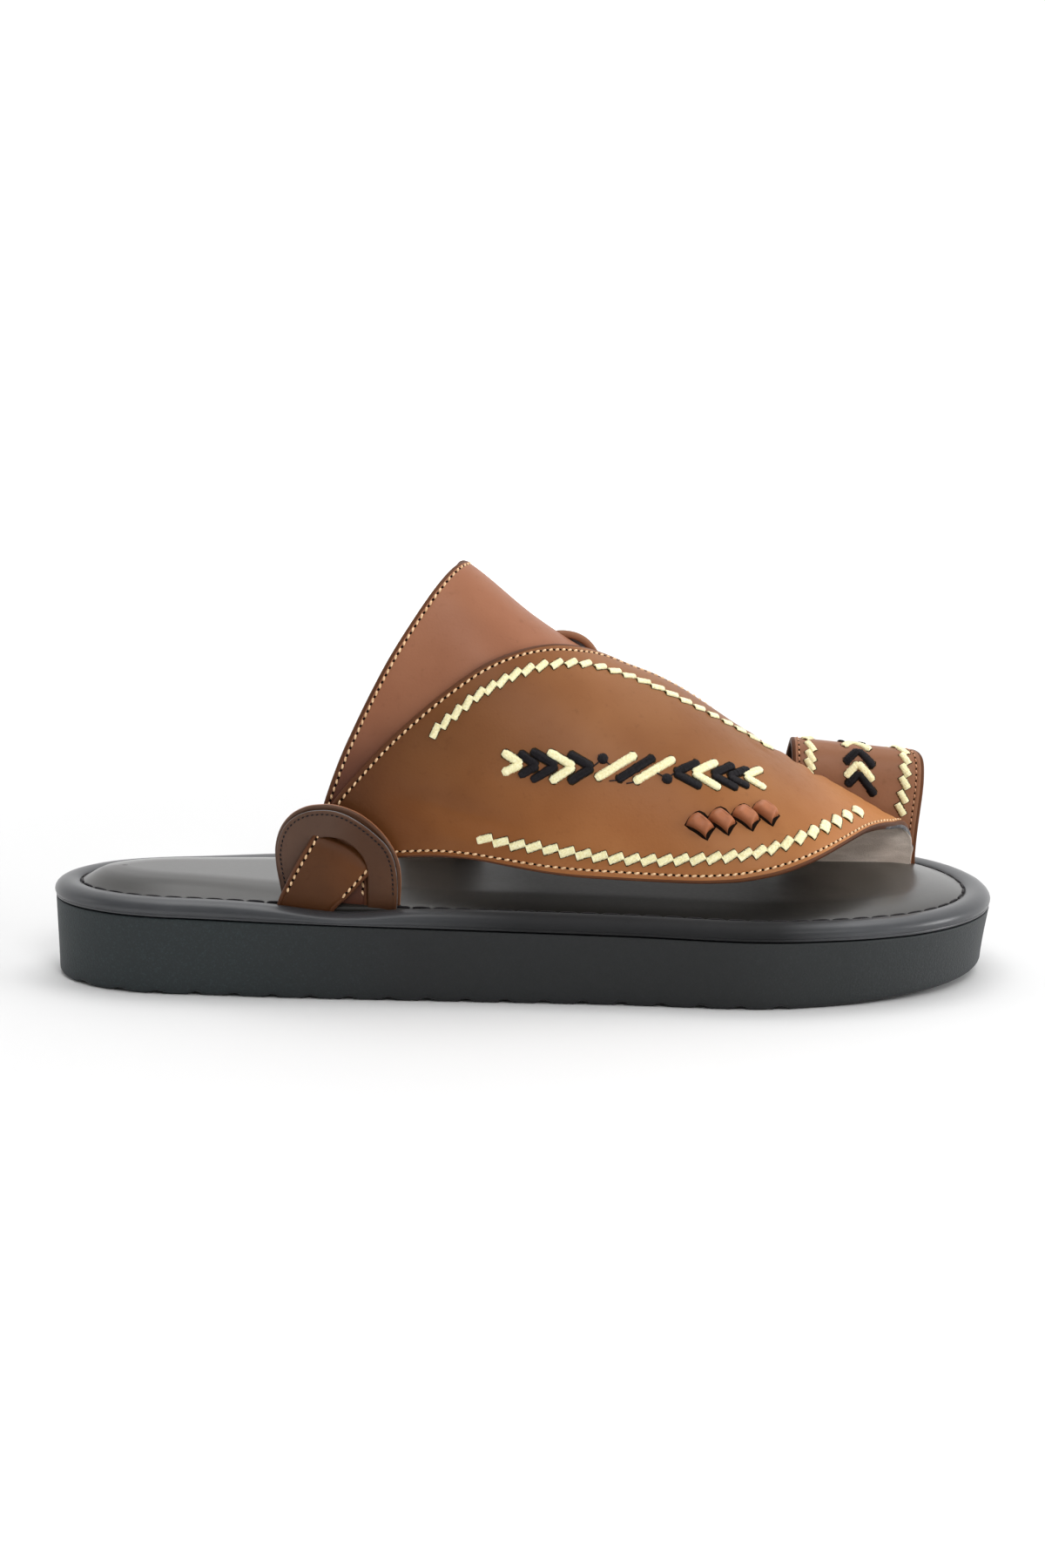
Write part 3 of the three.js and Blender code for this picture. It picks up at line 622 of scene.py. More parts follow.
pad = {
    # inset and height over the outsole, from the underside over the slope to the flat top
    "section": [
        (8.5, 0.4), (7.9, 2.0), (7.6, 3.6), (7.75, 4.1), (8.25, 4.5), (9.2, 4.95), (10.6, 5.45), (12.4, 5.95),
        (14.6, 6.4), (16.8, 6.75), (18.6, 7.05), (20.2, 7.24), (22.0, 7.3),
    ],
    # how far the cushion stands up at the heel, over what it is elsewhere
    "crown": 1.7, "crownEnd": 96, "crownLength": 70, "crownInset": 8.6, "crownSlope": 7,
}


def ease(t):
    t = np.clip(t, 0, 1)
    return t * t * (3 - 2 * t)


def makeInsole():
    rings = []
    for inset, z in pad["section"]:
        flat = edge.drawnIn(inset)
        crown = pad["crown"] * ease((pad["crownEnd"] - flat[:, 0]) / pad["crownLength"])
        rise = crown * ease((inset - pad["crownInset"]) / pad["crownSlope"])
        rings.append(np.column_stack([flat, soleTop(flat[:, 0]) + z + rise]))
    points = list(np.concatenate(rings))
    faces = ringFaces(len(rings), edge.n)
    closeLoop(points, faces, rings[0], 0, 17)
    closeLoop(points, faces, rings[-1], (len(rings) - 1) * edge.n, 17)
    piece = makePiece("insoleSkin", np.array(points), faces, "pad")
    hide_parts("insole")


makeInsole()
print("edge and insole made")


last = {
    "instep": 108.0,
    # how round its sections are: across, and upwards at the back and at the front of a stretch
    "across": 2.2, "upBack": 1.4, "upFront": 1.8, "frontFrom": 0.439, "frontTo": 0.86,
    # degrees past the foot's edge that make one drop, and the drop, where a strap runs on down
    "pastTurn": 24, "pastDrop": 7.0,
    # place, height, ridge, outer and inner half width, as shares
    "sections": [
        (0.21, 0.963, 0.01, 0.245, 0.22), (0.281, 0.99, 0.018, 0.246, 0.225),
        (0.305, 1, 0.02, 0.2545, 0.231), (0.351, 0.981, 0.022, 0.268, 0.233),
        (0.372, 0.958, 0.025, 0.282, 0.234), (0.439, 0.865, 0.03, 0.337, 0.282),
        (0.509, 0.713, 0.042, 0.376, 0.327), (0.579, 0.594, 0.059, 0.411, 0.297),
        (0.649, 0.511, 0.084, 0.446, 0.238), (0.719, 0.391, 0.114, 0.48, 0.129),
        (0.772, 0.302, 0.134, 0.49, 0.059), (0.814, 0.235, 0.149, 0.465, 0.032),
        (0.86, 0.166, 0.154, 0.366, 0.026), (0.898, 0.108, 0.155, 0.277, 0.025),
        (0.933, 0.074, 0.155, 0.198, 0.025),
    ],
}
lastAt, lastHigh, lastRidge, lastOuter, lastInner = (np.array(c) for c in zip(*last["sections"]))


def onForm(at, turn):
    # a place along the sole, and degrees around: 0 at the outer foot, 90 on the ridge, 180 at the inner foot
    at, turn = np.broadcast_arrays(np.asarray(at, float), np.asarray(turn, float))
    x = at * sole["length"]
    a = np.radians(np.clip(turn, 0, 180))
    forward = np.clip((at - last["frontFrom"]) / (last["frontTo"] - last["frontFrom"]), 0, 1)
    up = last["upBack"] + (last["upFront"] - last["upBack"]) * forward
    c = np.cos(a)
    wide = np.where(c > 0, along(lastAt, lastOuter, at), along(lastAt, lastInner, at))
    y = along(lastAt, lastRidge, at) - np.sign(c) * wide * np.abs(c)**(2 / last["across"])
    z = last["instep"] * along(lastAt, lastHigh, at) * np.abs(np.sin(a))**(2 / up)
    below = np.maximum(turn - 180, 0) / last["pastTurn"] * last["pastDrop"]
    return np.stack([x, sole["ballWidth"] * y, insoleTop(x) + z - below], -1)


def lifted(at, turn, by):
    # a place on the form, moved out by a distance
    at, turn = np.broadcast_arrays(np.asarray(at, float), np.asarray(turn, float))
    e = 0.1
    t = np.clip(turn, 2, 178)
    ahead = onForm(at + e / sole["length"], t) - onForm(at - e / sole["length"], t)
    around = onForm(at, t + e) - onForm(at, t - e)
    out = np.reshape(by * np.ones(at.shape), at.shape + (1,))
    return onForm(at, turn) + unit(np.cross(ahead, around)) * out


straps = {"panel": 2.0, "leaf": 2.6, "sunk": 0.7}  # thicknesses, and how far the leaf settles
leafMiddle = straps["panel"] - straps["sunk"] + straps["leaf"] / 2
leafTop = straps["panel"] - straps["sunk"] + straps["leaf"]

ears = {
    # place along the sole, turn seen from above, where on the form it stands, and its way out from there
    "outer": {"side": -1, "place": 0.3055, "turn": 9.6, "from": 18, "out": leafTop + 2.4},
    "inner": {"side": 1, "place": 0.393, "turn": 8.5, "from": 162, "out": straps["panel"] + 3.2},
    "back": 1.9, "front": 1.3, "lean": 9.5,
    # a raised line near the rim: how far in, and its groove's depth and place
    "bead": 0.8, "groove": 0.14, "grooveIn": 1.3,
    # across and up of the rear layer's rim, the front layer's rim and the opening, from foot to foot
    "outline": [
        (-16.6, -7, -15.4, -7, -8.9, -7), (-17.1, -1.7, -16.0, -1.5, -9.2, -1),
        (-17.9, 3.4, -17.0, 3.8, -9.4, 4), (-18.7, 8.6, -17.8, 8.2, -9.3, 8.2),
        (-18.9, 13.9, -18.1, 13.0, -8.9, 12.2), (-18.0, 18.4, -17.3, 17.6, -8.3, 15.0),
        (-16.2, 22.2, -15.5, 21.5, -7.2, 16.9), (-13.2, 25.5, -12.6, 24.4, -5.8, 17.9),
        (-9.3, 27.6, -9.0, 26.2, -3.9, 18.4), (-5.3, 28.4, -5.2, 26.9, -2.1, 18.5),
        (-1.2, 28.5, -1.4, 26.9, -0.2, 18.3), (2.8, 27.6, 2.0, 26.1, 1.8, 17.8),
        (6.9, 25.8, 5.5, 24.4, 3.7, 16.8), (10.8, 22.9, 9.2, 21.9, 5.5, 15.4),
        (14.2, 19.3, 12.7, 18.9, 7.1, 13.5), (16.8, 15.2, 15.4, 15.9, 8.3, 11.5),
        (18.3, 11.2, 17.0, 12.3, 8.9, 9.6), (18.9, 7.2, 17.8, 8.6, 9.1, 7.2),
        (18.9, 3.0, 18.1, 4.4, 9.1, 3.2), (18.6, -1.6, 18.0, -1.2, 9.0, -2.0),
        (18.3, -7, 17.5, -7, 8.9, -7),
    ],
}
earThick = ears["back"] + ears["front"]


def earPoint(which, across, up, out):
    # a point across, up and out from the middle of an ear's foot
    ear = ears[which]
    side, x = ear["side"], ear["place"] * sole["length"]
    base = insoleTop(x)
    top = onForm(ear["place"], ear["from"])
    lean = math.tan(math.radians(ears["lean"]))
    y = top[1] + side * (ear["out"] + earThick / 2 - lean * (top[2] - base))
    c, s = math.cos(math.radians(ear["turn"])), math.sin(math.radians(ear["turn"]))
    across, up, out = np.broadcast_arrays(*(np.asarray(part, float) for part in (across, up, out)))
    return np.stack([x + across * c - out * s, y + side * (across * s + up * lean + out * c), base + up], -1)


def tailRows(which, tail, columns):
    # each row runs between two points across, up and out from the ear
    t = np.linspace(0, 1, columns)[:, None]
    return [earPoint(which, *a) + (earPoint(which, *b) - earPoint(which, *a)) * t for a, b in tail]


def spread(row, near, far, columns):
    # a row of points laid out afresh: fixed steps in from each edge, even steps between them
    step = np.linalg.norm(np.diff(row, axis=0), axis=1)
    run = np.concatenate([[0], np.cumsum(step)])
    total = run[-1]
    fit = min(1.0, total / (1.3 * (near[-1] + far[-1])))
    near, far = np.array(near) * fit, np.array(far) * fit
    middle = np.linspace(near[-1], total - far[-1], columns)[1:-1]
    places = np.concatenate([near, middle, total - far[::-1]])
    laid = np.stack([np.interp(places, run, row[:, k]) for k in range(3)], 1)
    return laid, places, total - places


skin = {
    # how far the leather rounds over at its edges, and the band of the top beside them painted dark as shade
    "corner": 0.7, "paint": 0.4,
    # across each rounded edge: up and out, as shares of half the thickness and of the corner
    "arc": [(0.93, 0.5), (0.62, 0.87), (0, 1), (-0.62, 0.87), (-0.93, 0.5)],
    # columns around the stitch line, measured from it, and the one on it
    "steps": np.array([-0.36, -0.18, 0, 0.2, 0.5, 1.1]), "stitched": 4,
    # degrees of the steps that round off a strap's free end
    "end": np.radians([30, 60, 84]),
}


def strapSkin(name, middle, thick, finish, columns=40, bead=0.14, groove=0.18, stitches=(1.4, 1.4),
              endRound=True, dent=None, fuzzFrom=None):
    # a closed strap around its middle surface: leather on top, rounded edges, and a lining under it
    r, corner = thick / 2, skin["corner"]
    first = [corner * 0.6, corner * 0.6 + skin["paint"]]
    near, far = (at * np.ones(len(middle)) for at in stitches)
    laid = [spread(row, [*first, *(a + skin["steps"])], [*first, *(b + skin["steps"])], columns)
            for row, a, b in zip(middle, near, far)]
    grid, inset, outset = (np.array(part) for part in zip(*laid))
    normals = gridNormals(grid)
    rows, cols = inset.shape
    full = np.ones(rows)
    if endRound:
        more = len(skin["end"])
        out = unit(grid[-1] - grid[-2])
        grid[-1] = grid[-1] - out * r
        grid = np.concatenate([grid, [grid[-1] + out * r * math.sin(a) for a in skin["end"]]])
        normals, inset, outset, near, far = (
            np.concatenate([part, [part[-1]] * more]) for part in (normals, inset, outset, near, far))
        full = np.concatenate([full, np.cos(skin["end"])])
        rows += more
    shape = 0
    for d, at in ((inset, near[:, None]), (outset, far[:, None])):
        shape = shape + bead * np.exp(-((d - at + 0.6) / 0.4)**2) - groove * np.exp(-((d - at) / 0.3)**2)
    if dent is not None:
        shape = shape + dent(grid)
    top = grid + normals * (r * full[:, None] + shape * full[:, None])[..., None]
    under = grid - normals * (r * full[:, None])[..., None]

    def side(column, inner, sign):
        out = unit(grid[:, column] - grid[:, inner])
        lift = normals[:, column] * (r * full[:, None])
        arc = [grid[:, column] + lift * sign * up + out * corner * away for up, away in skin["arc"]]
        return np.stack(arc, 1)

    section = np.concatenate([top, side(-1, -2, 1), under[:, ::-1], side(0, 1, -1)], axis=1)
    around = section.shape[1]
    faces = ringFaces(rows, around)
    # 0 leather, 1 lining, 2 edge and the band beside it, painted dark as shade, 3 fuzzy edge
    kinds = []
    for row in range(rows - 1):
        for i in range(around):
            if cols + 4 <= i <= 2 * cols + 4:
                kinds.append(1)
            elif fuzzFrom is not None and row >= fuzzFrom and cols + 2 <= i < cols + 4:
                kinds.append(3)
            else:
                kinds.append(2 if i == 0 or i >= cols - 2 else 0)
    for base in (0, (rows - 1) * around):
        # quads across the end from top to underside, and a fan at each rounded edge
        opposite = base + 2 * cols + 4
        closed = [(base + j, base + j + 1, opposite - j - 1, opposite - j) for j in range(cols - 1)]
        closed.append(tuple(base + cols - 1 + k for k in range(7)))
        closed.append((*(opposite + k for k in range(6)), base))
        faces += closed if base else [f[::-1] for f in closed]
        kinds += [2] * len(closed)
    piece = makePiece(name, section.reshape(-1, 3), faces, finish, kinds)
    on = skin["stitched"]
    return piece, [(top[:, on], normals[:, on]), (top[:, -1 - on], normals[:, -1 - on])]


class Bundle:
    # many small closed parts gathered into one piece
    def __init__(self):
        self.points, self.faces, self.count = [], [], 0

    def add(self, points, faces):
        self.points.append(points)
        self.faces += [tuple(v + self.count for v in f) for f in faces]
        self.count += len(points)

    def tube(self, path, radius, sides=6, up=(0, 0, 1)):
        # a thread along a path, its radius given at each point, closed at both ends
        path = np.asarray(path, float)
        run = unit(np.gradient(path, axis=0))
        up = np.broadcast_to(np.asarray(up, float), path.shape)
        side = unit(np.cross(run, up))
        lift = np.cross(side, run)
        a = np.arange(sides) * 2 * math.pi / sides
        radius = np.reshape(radius * np.ones(len(path)), (-1, 1, 1))
        around = side[:, None] * np.cos(a)[None, :, None] + lift[:, None] * np.sin(a)[None, :, None]
        points = (path[:, None] + around * radius).reshape(-1, 3)
        faces = ringFaces(len(path), sides)
        faces.append(tuple(range(sides))[::-1])
        faces.append(tuple((len(path) - 1) * sides + k for k in range(sides)))
        self.add(points, faces)

    def slab(self, upper, lower):
        # a thin plate between two outlines that match point for point
        n = len(upper)
        faces = [tuple(range(n)), tuple(range(2 * n - 1, n - 1, -1))]
        faces += [(k, n + k, n + (k + 1) % n, (k + 1) % n) for k in range(n)]
        self.add(np.concatenate([upper, lower]), faces)

    def bead(self, centre, up, ahead, size, rings=4, sides=8):
        # a small flattened ball: sizes ahead, across and up
        up, ahead = unit(np.asarray(up, float)), np.asarray(ahead, float)
        ahead = unit(ahead - up * np.dot(ahead, up))
        across = np.cross(up, ahead)
        points = [centre + up * size[2]]
        for b in math.pi * np.arange(1, rings) / rings:
            for a in 2 * math.pi * np.arange(sides) / sides:
                out = ahead * size[0] * math.cos(a) + across * size[1] * math.sin(a)
                points.append(centre + up * size[2] * math.cos(b) + out * math.sin(b))
        points.append(centre - up * size[2])
        faces = [(0, 1 + k, 1 + (k + 1) % sides) for k in range(sides)]
        for r in range(rings - 2):
            here, below = 1 + r * sides, 1 + (r + 1) * sides
            for k in range(sides):
                j = (k + 1) % sides
                faces.append((here + k, below + k, below + j, here + j))
        base, foot = 1 + (rings - 2) * sides, len(points) - 1
        faces += [(foot, base + (k + 1) % sides, base + k) for k in range(sides)]
        self.add(np.array(points), faces)

    def make(self, name, finish, slot):
        piece = makePiece(name, np.concatenate(self.points), self.faces, finish)
        return piece


def seam(line, normals, pitch, threads, holes, length=0.6, thick=0.36, hole=0.44, slant=0.22):
    # stitches along a line on the leather, each a little slanted, with a dark bead after each: painted shade
    # in its needle hole
    total, at = sampler(line, line)
    _, leaning = sampler(line, normals)
    for i in range(max(int(total / pitch), 1)):
        s = np.linspace(i * pitch, (i + length) * pitch, 5)
        path, up = at(s), unit(leaning(s))
        if path[2, 2] <= insoleTop(path[2, 0]) + 0.6:
            continue  # down in the sole
        aside = np.cross(up, unit(np.gradient(path, axis=0)))
        path = path + aside * (np.linspace(-slant, slant, 5))[:, None]
        path = path + up * np.array([-0.16, 0.12, 0.2, 0.12, -0.16])[:, None]
        threads.tube(path, thick * np.array([0.62, 0.95, 1, 0.95, 0.62]), up=up)
        if holes is not None:
            middle = (i + (1 + length) / 2) * pitch
            facing = unit(leaning(middle))
            holes.bead(at(middle) + facing * 0.06, facing, path[-1] - path[0], (hole, hole * 1.25, 0.14))


soleStitch = {"inset": 8.3, "up": 4.6, "pitch": 6.2, "share": 0.84, "thread": 0.38, "clear": 0.06}


def makeSoleStitches():
    # long dark stitches in the valley between the roll and the pad, left out where the ears go down
    stitches = Bundle()
    flat = edge.drawnIn(soleStitch["inset"])
    line = np.column_stack([flat, soleTop(flat[:, 0]) + soleStitch["up"]])
    line = np.concatenate([line, line[:1]])
    total, at = sampler(line, line)
    count = int(total / soleStitch["pitch"])
    for i in range(count):
        path = at(np.linspace(i, i + soleStitch["share"], 7) * total / count)
        x, y = path[3, 0] / sole["length"], path[3, 1]
        if abs(x - (roll["outerEar"] if y < 0 else roll["innerEar"])) < soleStitch["clear"]:
            continue
        path[:, 2] += np.array([-0.25, 0, 0.06, 0.08, 0.06, 0, -0.25])
        stitches.tube(path, soleStitch["thread"])
    stitches.make("soleStitches", "black", "sole_leather")


makeSoleStitches()
print("sole stitched")

leaf = {
    "columns": 97, "steps": 7,
    # how far in the lower and the upper seam sit, by row, and the row from which the cut edge is fuzzy
    "lowSeam": [(0, 1.3), (6, 1.3), (8, 2.7), (14, 2.8), (18, 2.2), (33, 2.0)],
    "highSeam": [(0, 1.1), (6, 1.1), (9, 1.4), (15, 1.5), (17, 2.6), (23, 2.6), (25, 1.5)], "fuzzFrom": 29.5,
    # soft creases on the outer side: two ends (x and height), width, and rise or fall in the middle
    "creases": [
        ((100, 62), (146, 50.5), 3.4, -1.0),
        ((104, 71), (150, 59), 5.0, 0.55), ((112, 50), (139, 46), 2.6, 0.35),
        ((104, 82), (124, 60), 5.5, -0.4), ((196, 62), (226, 70), 3.0, -0.35),
    ],
    # tail through the ear: across, up and out at its two edges
    "tail": [
        ((-18.6, -6.7, 4.3), (-2.6, -6.7, 3.4)), ((-16.8, -0.8, 4.4), (0.2, -2.6, 3.2)),
        ((-15.0, 3.2, 4.5), (3.6, 0.7, 2.9)), ((-12.6, 8.2, 4.5), (6.6, 4.0, 2.0)),
        ((-10.0, 13.0, 3.8), (9.6, 7.4, 0.2)), ((-8.0, 16.6, 2.4), (11.2, 9.6, -2.0)),
        ((-6.9, 18.9, 0.0), (12.0, 10.9, -3.6)),
    ],
    # lower edge's place and degrees, upper edge's place and degrees
    "rows": [
        (0.361, 12, 0.288, 17.6), (0.372, 12.7, 0.296, 20.6),
        (0.391, 13.35, 0.309, 24), (0.418, 14.1, 0.331, 28.4),
        (0.449, 14.3, 0.3575, 33.5), (0.484, 13.5, 0.389, 39.6),
        (0.519, 12.6, 0.4215, 46.4), (0.554, 12, 0.4555, 54.6),
        (0.589, 11.9, 0.487, 63.3), (0.624, 11.7, 0.517, 72.4),
        (0.656, 11.7, 0.5455, 81), (0.682, 12.1, 0.5745, 89.5),
        (0.703, 12.9, 0.606, 92.5), (0.7205, 13.9, 0.636, 94),
        (0.738, 15.6, 0.666, 97.5), (0.757, 18.1, 0.698, 105),
        (0.775, 21.6, 0.73, 119), (0.792, 25.9, 0.761, 142),
        (0.808, 31.1, 0.786, 168), (0.8245, 37.6, 0.804, 200),
        (0.842, 45.4, 0.823, 204), (0.859, 54.7, 0.844, 204),
        (0.876, 65.5, 0.864, 204), (0.893, 77.5, 0.886, 204),
        (0.9095, 91, 0.905, 204), (0.9215, 117, 0.917, 204), (0.9255, 152, 0.9245, 204),
    ],
}
panel = {
    "columns": 61, "steps": 7,
    "tail": [
        ((-8.5, -6.7, -0.3), (8.9, -6.7, -0.3)), ((-8.5, -0.9, -0.3), (8.9, -0.9, -0.3)),
        ((-7.9, 5.8, -1.4), (8.9, 4.6, -1.4)), ((-7.2, 11.6, -3.4), (8.6, 8.4, -3.4)),
    ],
    # rear edge's place and degrees, front edge's place and degrees
    "rows": [
        (0.286, 17.2, 0.335, 13.2), (0.293, 22.4, 0.349, 17.5),
        (0.308, 29.4, 0.368, 23.5), (0.323, 35, 0.395, 30),
        (0.341, 41.4, 0.428, 37.5), (0.361, 48.6, 0.47, 46),
        (0.383, 57, 0.518, 56), (0.404, 66.6, 0.566, 66.5),
        (0.419, 75.4, 0.608, 76.5), (0.429, 83, 0.642, 86), (0.436, 91, 0.662, 95), (0.431, 99, 0.656, 103),
        (0.425, 107, 0.64, 111), (0.414, 116, 0.615, 120), (0.401, 126, 0.585, 129), (0.388, 135, 0.552, 138),
        (0.377, 144, 0.518, 146), (0.369, 152, 0.48, 153.5),
        (0.364, 159, 0.448, 160), (0.361, 165.5, 0.429, 166),
    ],
}


def leafCreases(grid):
    x, z = grid[..., 0], grid[..., 2]
    total = 0 * x
    for (x0, z0), (x1, z1), width, rise in leaf["creases"]:
        run = np.array([x1 - x0, z1 - z0])
        length = np.hypot(*run)
        run = run / length
        s = (x - x0) * run[0] + (z - z0) * run[1]
        off = (x - x0) * run[1] - (z - z0) * run[0]
        fade = np.clip(1 - (2 * s / length - 1)**2, 0, 1)
        total = total + rise * np.exp(-(off / width)**2) * fade
    return np.where(grid[..., 1] < 2, total, 0)  # the outer side alone


def makeLeaf():
    t = np.linspace(1, 0, leaf["columns"])
    rows = tailRows("outer", leaf["tail"], leaf["columns"])
    for lowAt, low, highAt, high in leaf["rows"]:
        rows.append(lifted(lowAt + (highAt - lowAt) * t, low + (high - low) * t, leafMiddle))
    rows = refine(rows, leaf["steps"])
    row = np.arange(len(rows)) / leaf["steps"]
    seams = [np.interp(row, *zip(*leaf[key])) for key in ("highSeam", "lowSeam")]
    piece, lines = strapSkin("leafSkin", rows, straps["leaf"], ["strap", "lining", "edge", "fray"],
                             columns=46, stitches=seams, dent=leafCreases,
                             fuzzFrom=leaf["steps"] * leaf["fuzzFrom"])
    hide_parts("upper")
    return lines


def makePanel():
    t = np.linspace(0, 1, panel["columns"])
    rows = tailRows("outer", panel["tail"], panel["columns"])
    for rearAt, rear, frontAt, front in panel["rows"]:
        rows.append(lifted(rearAt + (frontAt - rearAt) * t, rear + (front - rear) * t, straps["panel"] / 2))
    rows += tailRows("inner", panel["tail"], panel["columns"])[::-1]
    piece, lines = strapSkin("panelSkin", refine(rows, panel["steps"]), straps["panel"],
                             ["panel", "lining", "edge"], columns=34, endRound=False)
    return lines


def sewBorders(lines, pitch=2.4):
    threads, holes = Bundle(), Bundle()
    for line in lines:
        seam(*line, pitch, threads, holes)
    threads.make("borderStitches", "cream", "strap_leather")
    holes.make("needleHoles", "hole", "strap_leather")


sewBorders(makeLeaf() + makePanel())
print("leaf and panel made")

keeper = {
    # its ends along the sole, its edges in degrees around, and how far it stands off
    "from": 0.533, "to": 0.577, "turns": (94, 108), "thick": 2.2, "start": 1.1, "rise": 3.0,
}


def makeKeeper():
    rows = []
    for t in np.linspace(0, 1, 33):
        at = keeper["from"] + (keeper["to"] - keeper["from"]) * t
        off = keeper["start"] + keeper["rise"] * math.sin(math.pi * t)**0.8
        rows.append(lifted(at, np.linspace(*keeper["turns"], 17), off))
    piece, _ = strapSkin("keeperLoop", np.array(rows), keeper["thick"], ["ring", "inside", "ring"],
                         columns=10, bead=0.1, groove=0.05, endRound=False)


makeKeeper()

puffs = {
    # middle of each on the leaf
    "places": [(0.6795, 31.2), (0.7011, 34.6), (0.7255, 38.5), (0.7458, 42.9)],
    # corners in millimetres ahead and up from the middle: top, right, bottom, left
    "corners": [(-1.7, 3.9), (3.9, 0.6), (2.3, -3.5), (-4.5, -0.9)],
    "height": 3.3,
    # the dark plate that frames each, out from the middle along its upper left and lower sides: painted shade
    # in the slit, and a painted shadow below
    "slit": [
        (-5.0, -0.9), (-4.2, 1.6), (-2.7, 3.7), (-1.5, 4.5), (0.2, 4.2), (2.3, 2.5),
        (4.4, 0.7), (3.5, -1.2), (2.7, -3.9), (1.0, -3.5), (-1.2, -2.5), (-3.4, -1.8),
    ],
    # how each side bows: the way it goes and how far
    "topLeft": ((-1.0, 0.9), 0.9), "right": ((1.0, 0.25), 1.1), "bottom": ((0.35, 1.0), 0.6),
}


class Spot:
    # a place on a curved face, and points in millimetres ahead and up from it along the face
    def __init__(self, face, place, steps):
        self.face, self.place, self.steps = face, place, steps
        (a, b), (da, db) = place, steps
        self.middle = face(a, b, 0)
        alongA = face(a + da, b, 0) - face(a - da, b, 0)
        alongB = face(a, b + db, 0) - face(a, b - db, 0)
        u = unit(alongA)
        v = np.cross(u, unit(np.cross(alongB, alongA)))
        self.flat = np.stack([u, v if v[2] > 0 else -v])

    def find(self, ahead, up):
        # closes in on the place whose point lies that far ahead and up
        want = np.stack(np.broadcast_arrays(np.asarray(ahead, float), np.asarray(up, float)), -1)
        a, b = (p + 0 * want[..., 0] for p in self.place)
        da, db = self.steps
        cross = lambda p, q: p[..., 0] * q[..., 1] - p[..., 1] * q[..., 0]
        for _ in range(6):
            here = self.face(a, b, 0)
            off = want - (here - self.middle) @ self.flat.T
            goA = (self.face(a + da, b, 0) - here) @ self.flat.T
            goB = (self.face(a, b + db, 0) - here) @ self.flat.T
            a = a + da * np.clip(cross(off, goB) / cross(goA, goB), -5, 5)
            b = b + db * np.clip(cross(goA, off) / cross(goA, goB), -5, 5)
        return a, b

    def point(self, ahead, up, by):
        return self.face(*self.find(ahead, up), by)

    def offset(self, target):
        # millimetres ahead and up to another place
        return self.flat @ (self.face(*target, 0) - self.middle)


def leafFace(at, turn, by):
    return lifted(at, turn, leafTop + by)


def onLeaf(place):
    return Spot(leafFace, place, (0.0015, 0.5))


def puffFaces(n):
    # the quads of two square grids of n by n points, one above the other, and of the four sides between them
    at = lambda i, j, level: level * n * n + i * n + j
    faces = []
    for i in range(n - 1):
        for j in range(n - 1):
            faces.append((at(i, j, 0), at(i + 1, j, 0), at(i + 1, j + 1, 0), at(i, j + 1, 0)))
            faces.append((at(i, j, 1), at(i, j + 1, 1), at(i + 1, j + 1, 1), at(i + 1, j, 1)))
        for j, flip in ((0, False), (n - 1, True)):
            for side in ((at(i, j, 0), at(i, j, 1), at(i + 1, j, 1), at(i + 1, j, 0)),
                         (at(j, i, 0), at(j, i + 1, 0), at(j, i + 1, 1), at(j, i, 1))):
                faces.append(side[::-1] if flip else side)
    return faces


def makePuffs():
    n = 21
    u, v = np.meshgrid(np.linspace(-1, 1, n), np.linspace(-1, 1, n), indexing="ij")
    top, right, bottom, left = (np.array(c) for c in puffs["corners"])
    bow = lambda across, towards: ((1 - across**2) * np.clip(towards, 0, 1)**2)[..., None]
    # a square patch on its corners, whose sides bow in at the right and below, and out at the top left
    flat = sum(((1 + a * u) * (1 + b * v) / 4)[..., None] * corner
               for a, b, corner in ((-1, 1, top), (1, 1, right), (1, -1, bottom), (-1, -1, left)))
    (topLeft, out), (inward, rightIn) = puffs["topLeft"], puffs["right"]
    lift, bottomIn = puffs["bottom"]
    flat = flat + unit(np.array(topLeft)) * bow(v, -u) * out
    flat = flat - np.array(inward) * bow(v, u) * rightIn
    flat = flat + np.array(lift) * bow(u, -v) * bottomIn
    dome = np.clip(1 - np.abs(u)**3.2, 0, 1)**0.5 * np.clip(1 - np.abs(v)**3.2, 0, 1)**0.5
    saddle = 1 + 0.16 * (u * v) - 0.14 * np.exp(-((u + v * 0.4 + 0.15) / 0.5)**2) * (v < 0.6)
    height = puffs["height"] * dome * saddle
    rim = np.array(puffs["slit"])
    slitShade = Bundle()
    for k, place in enumerate(puffs["places"], 1):
        spot = onLeaf(place)
        found = spot.find(flat[..., 0], flat[..., 1])
        upper, lower = leafFace(*found, height + 0.1), leafFace(*found, -0.5)
        points = np.concatenate([upper.reshape(-1, 3), lower.reshape(-1, 3)])
        piece = makePiece(f"wovenPuff{k}", points, puffFaces(n), "puff")
        # a dark plate: painted shade in the slit and a painted shadow below
        found = spot.find(rim[:, 0], rim[:, 1])
        slitShade.slab(leafFace(*found, 0.1), leafFace(*found, -0.3))
    slitShade.make("puffSlitShade", "hole", "strap_leather")


makePuffs()
print("keeper and ornaments made")


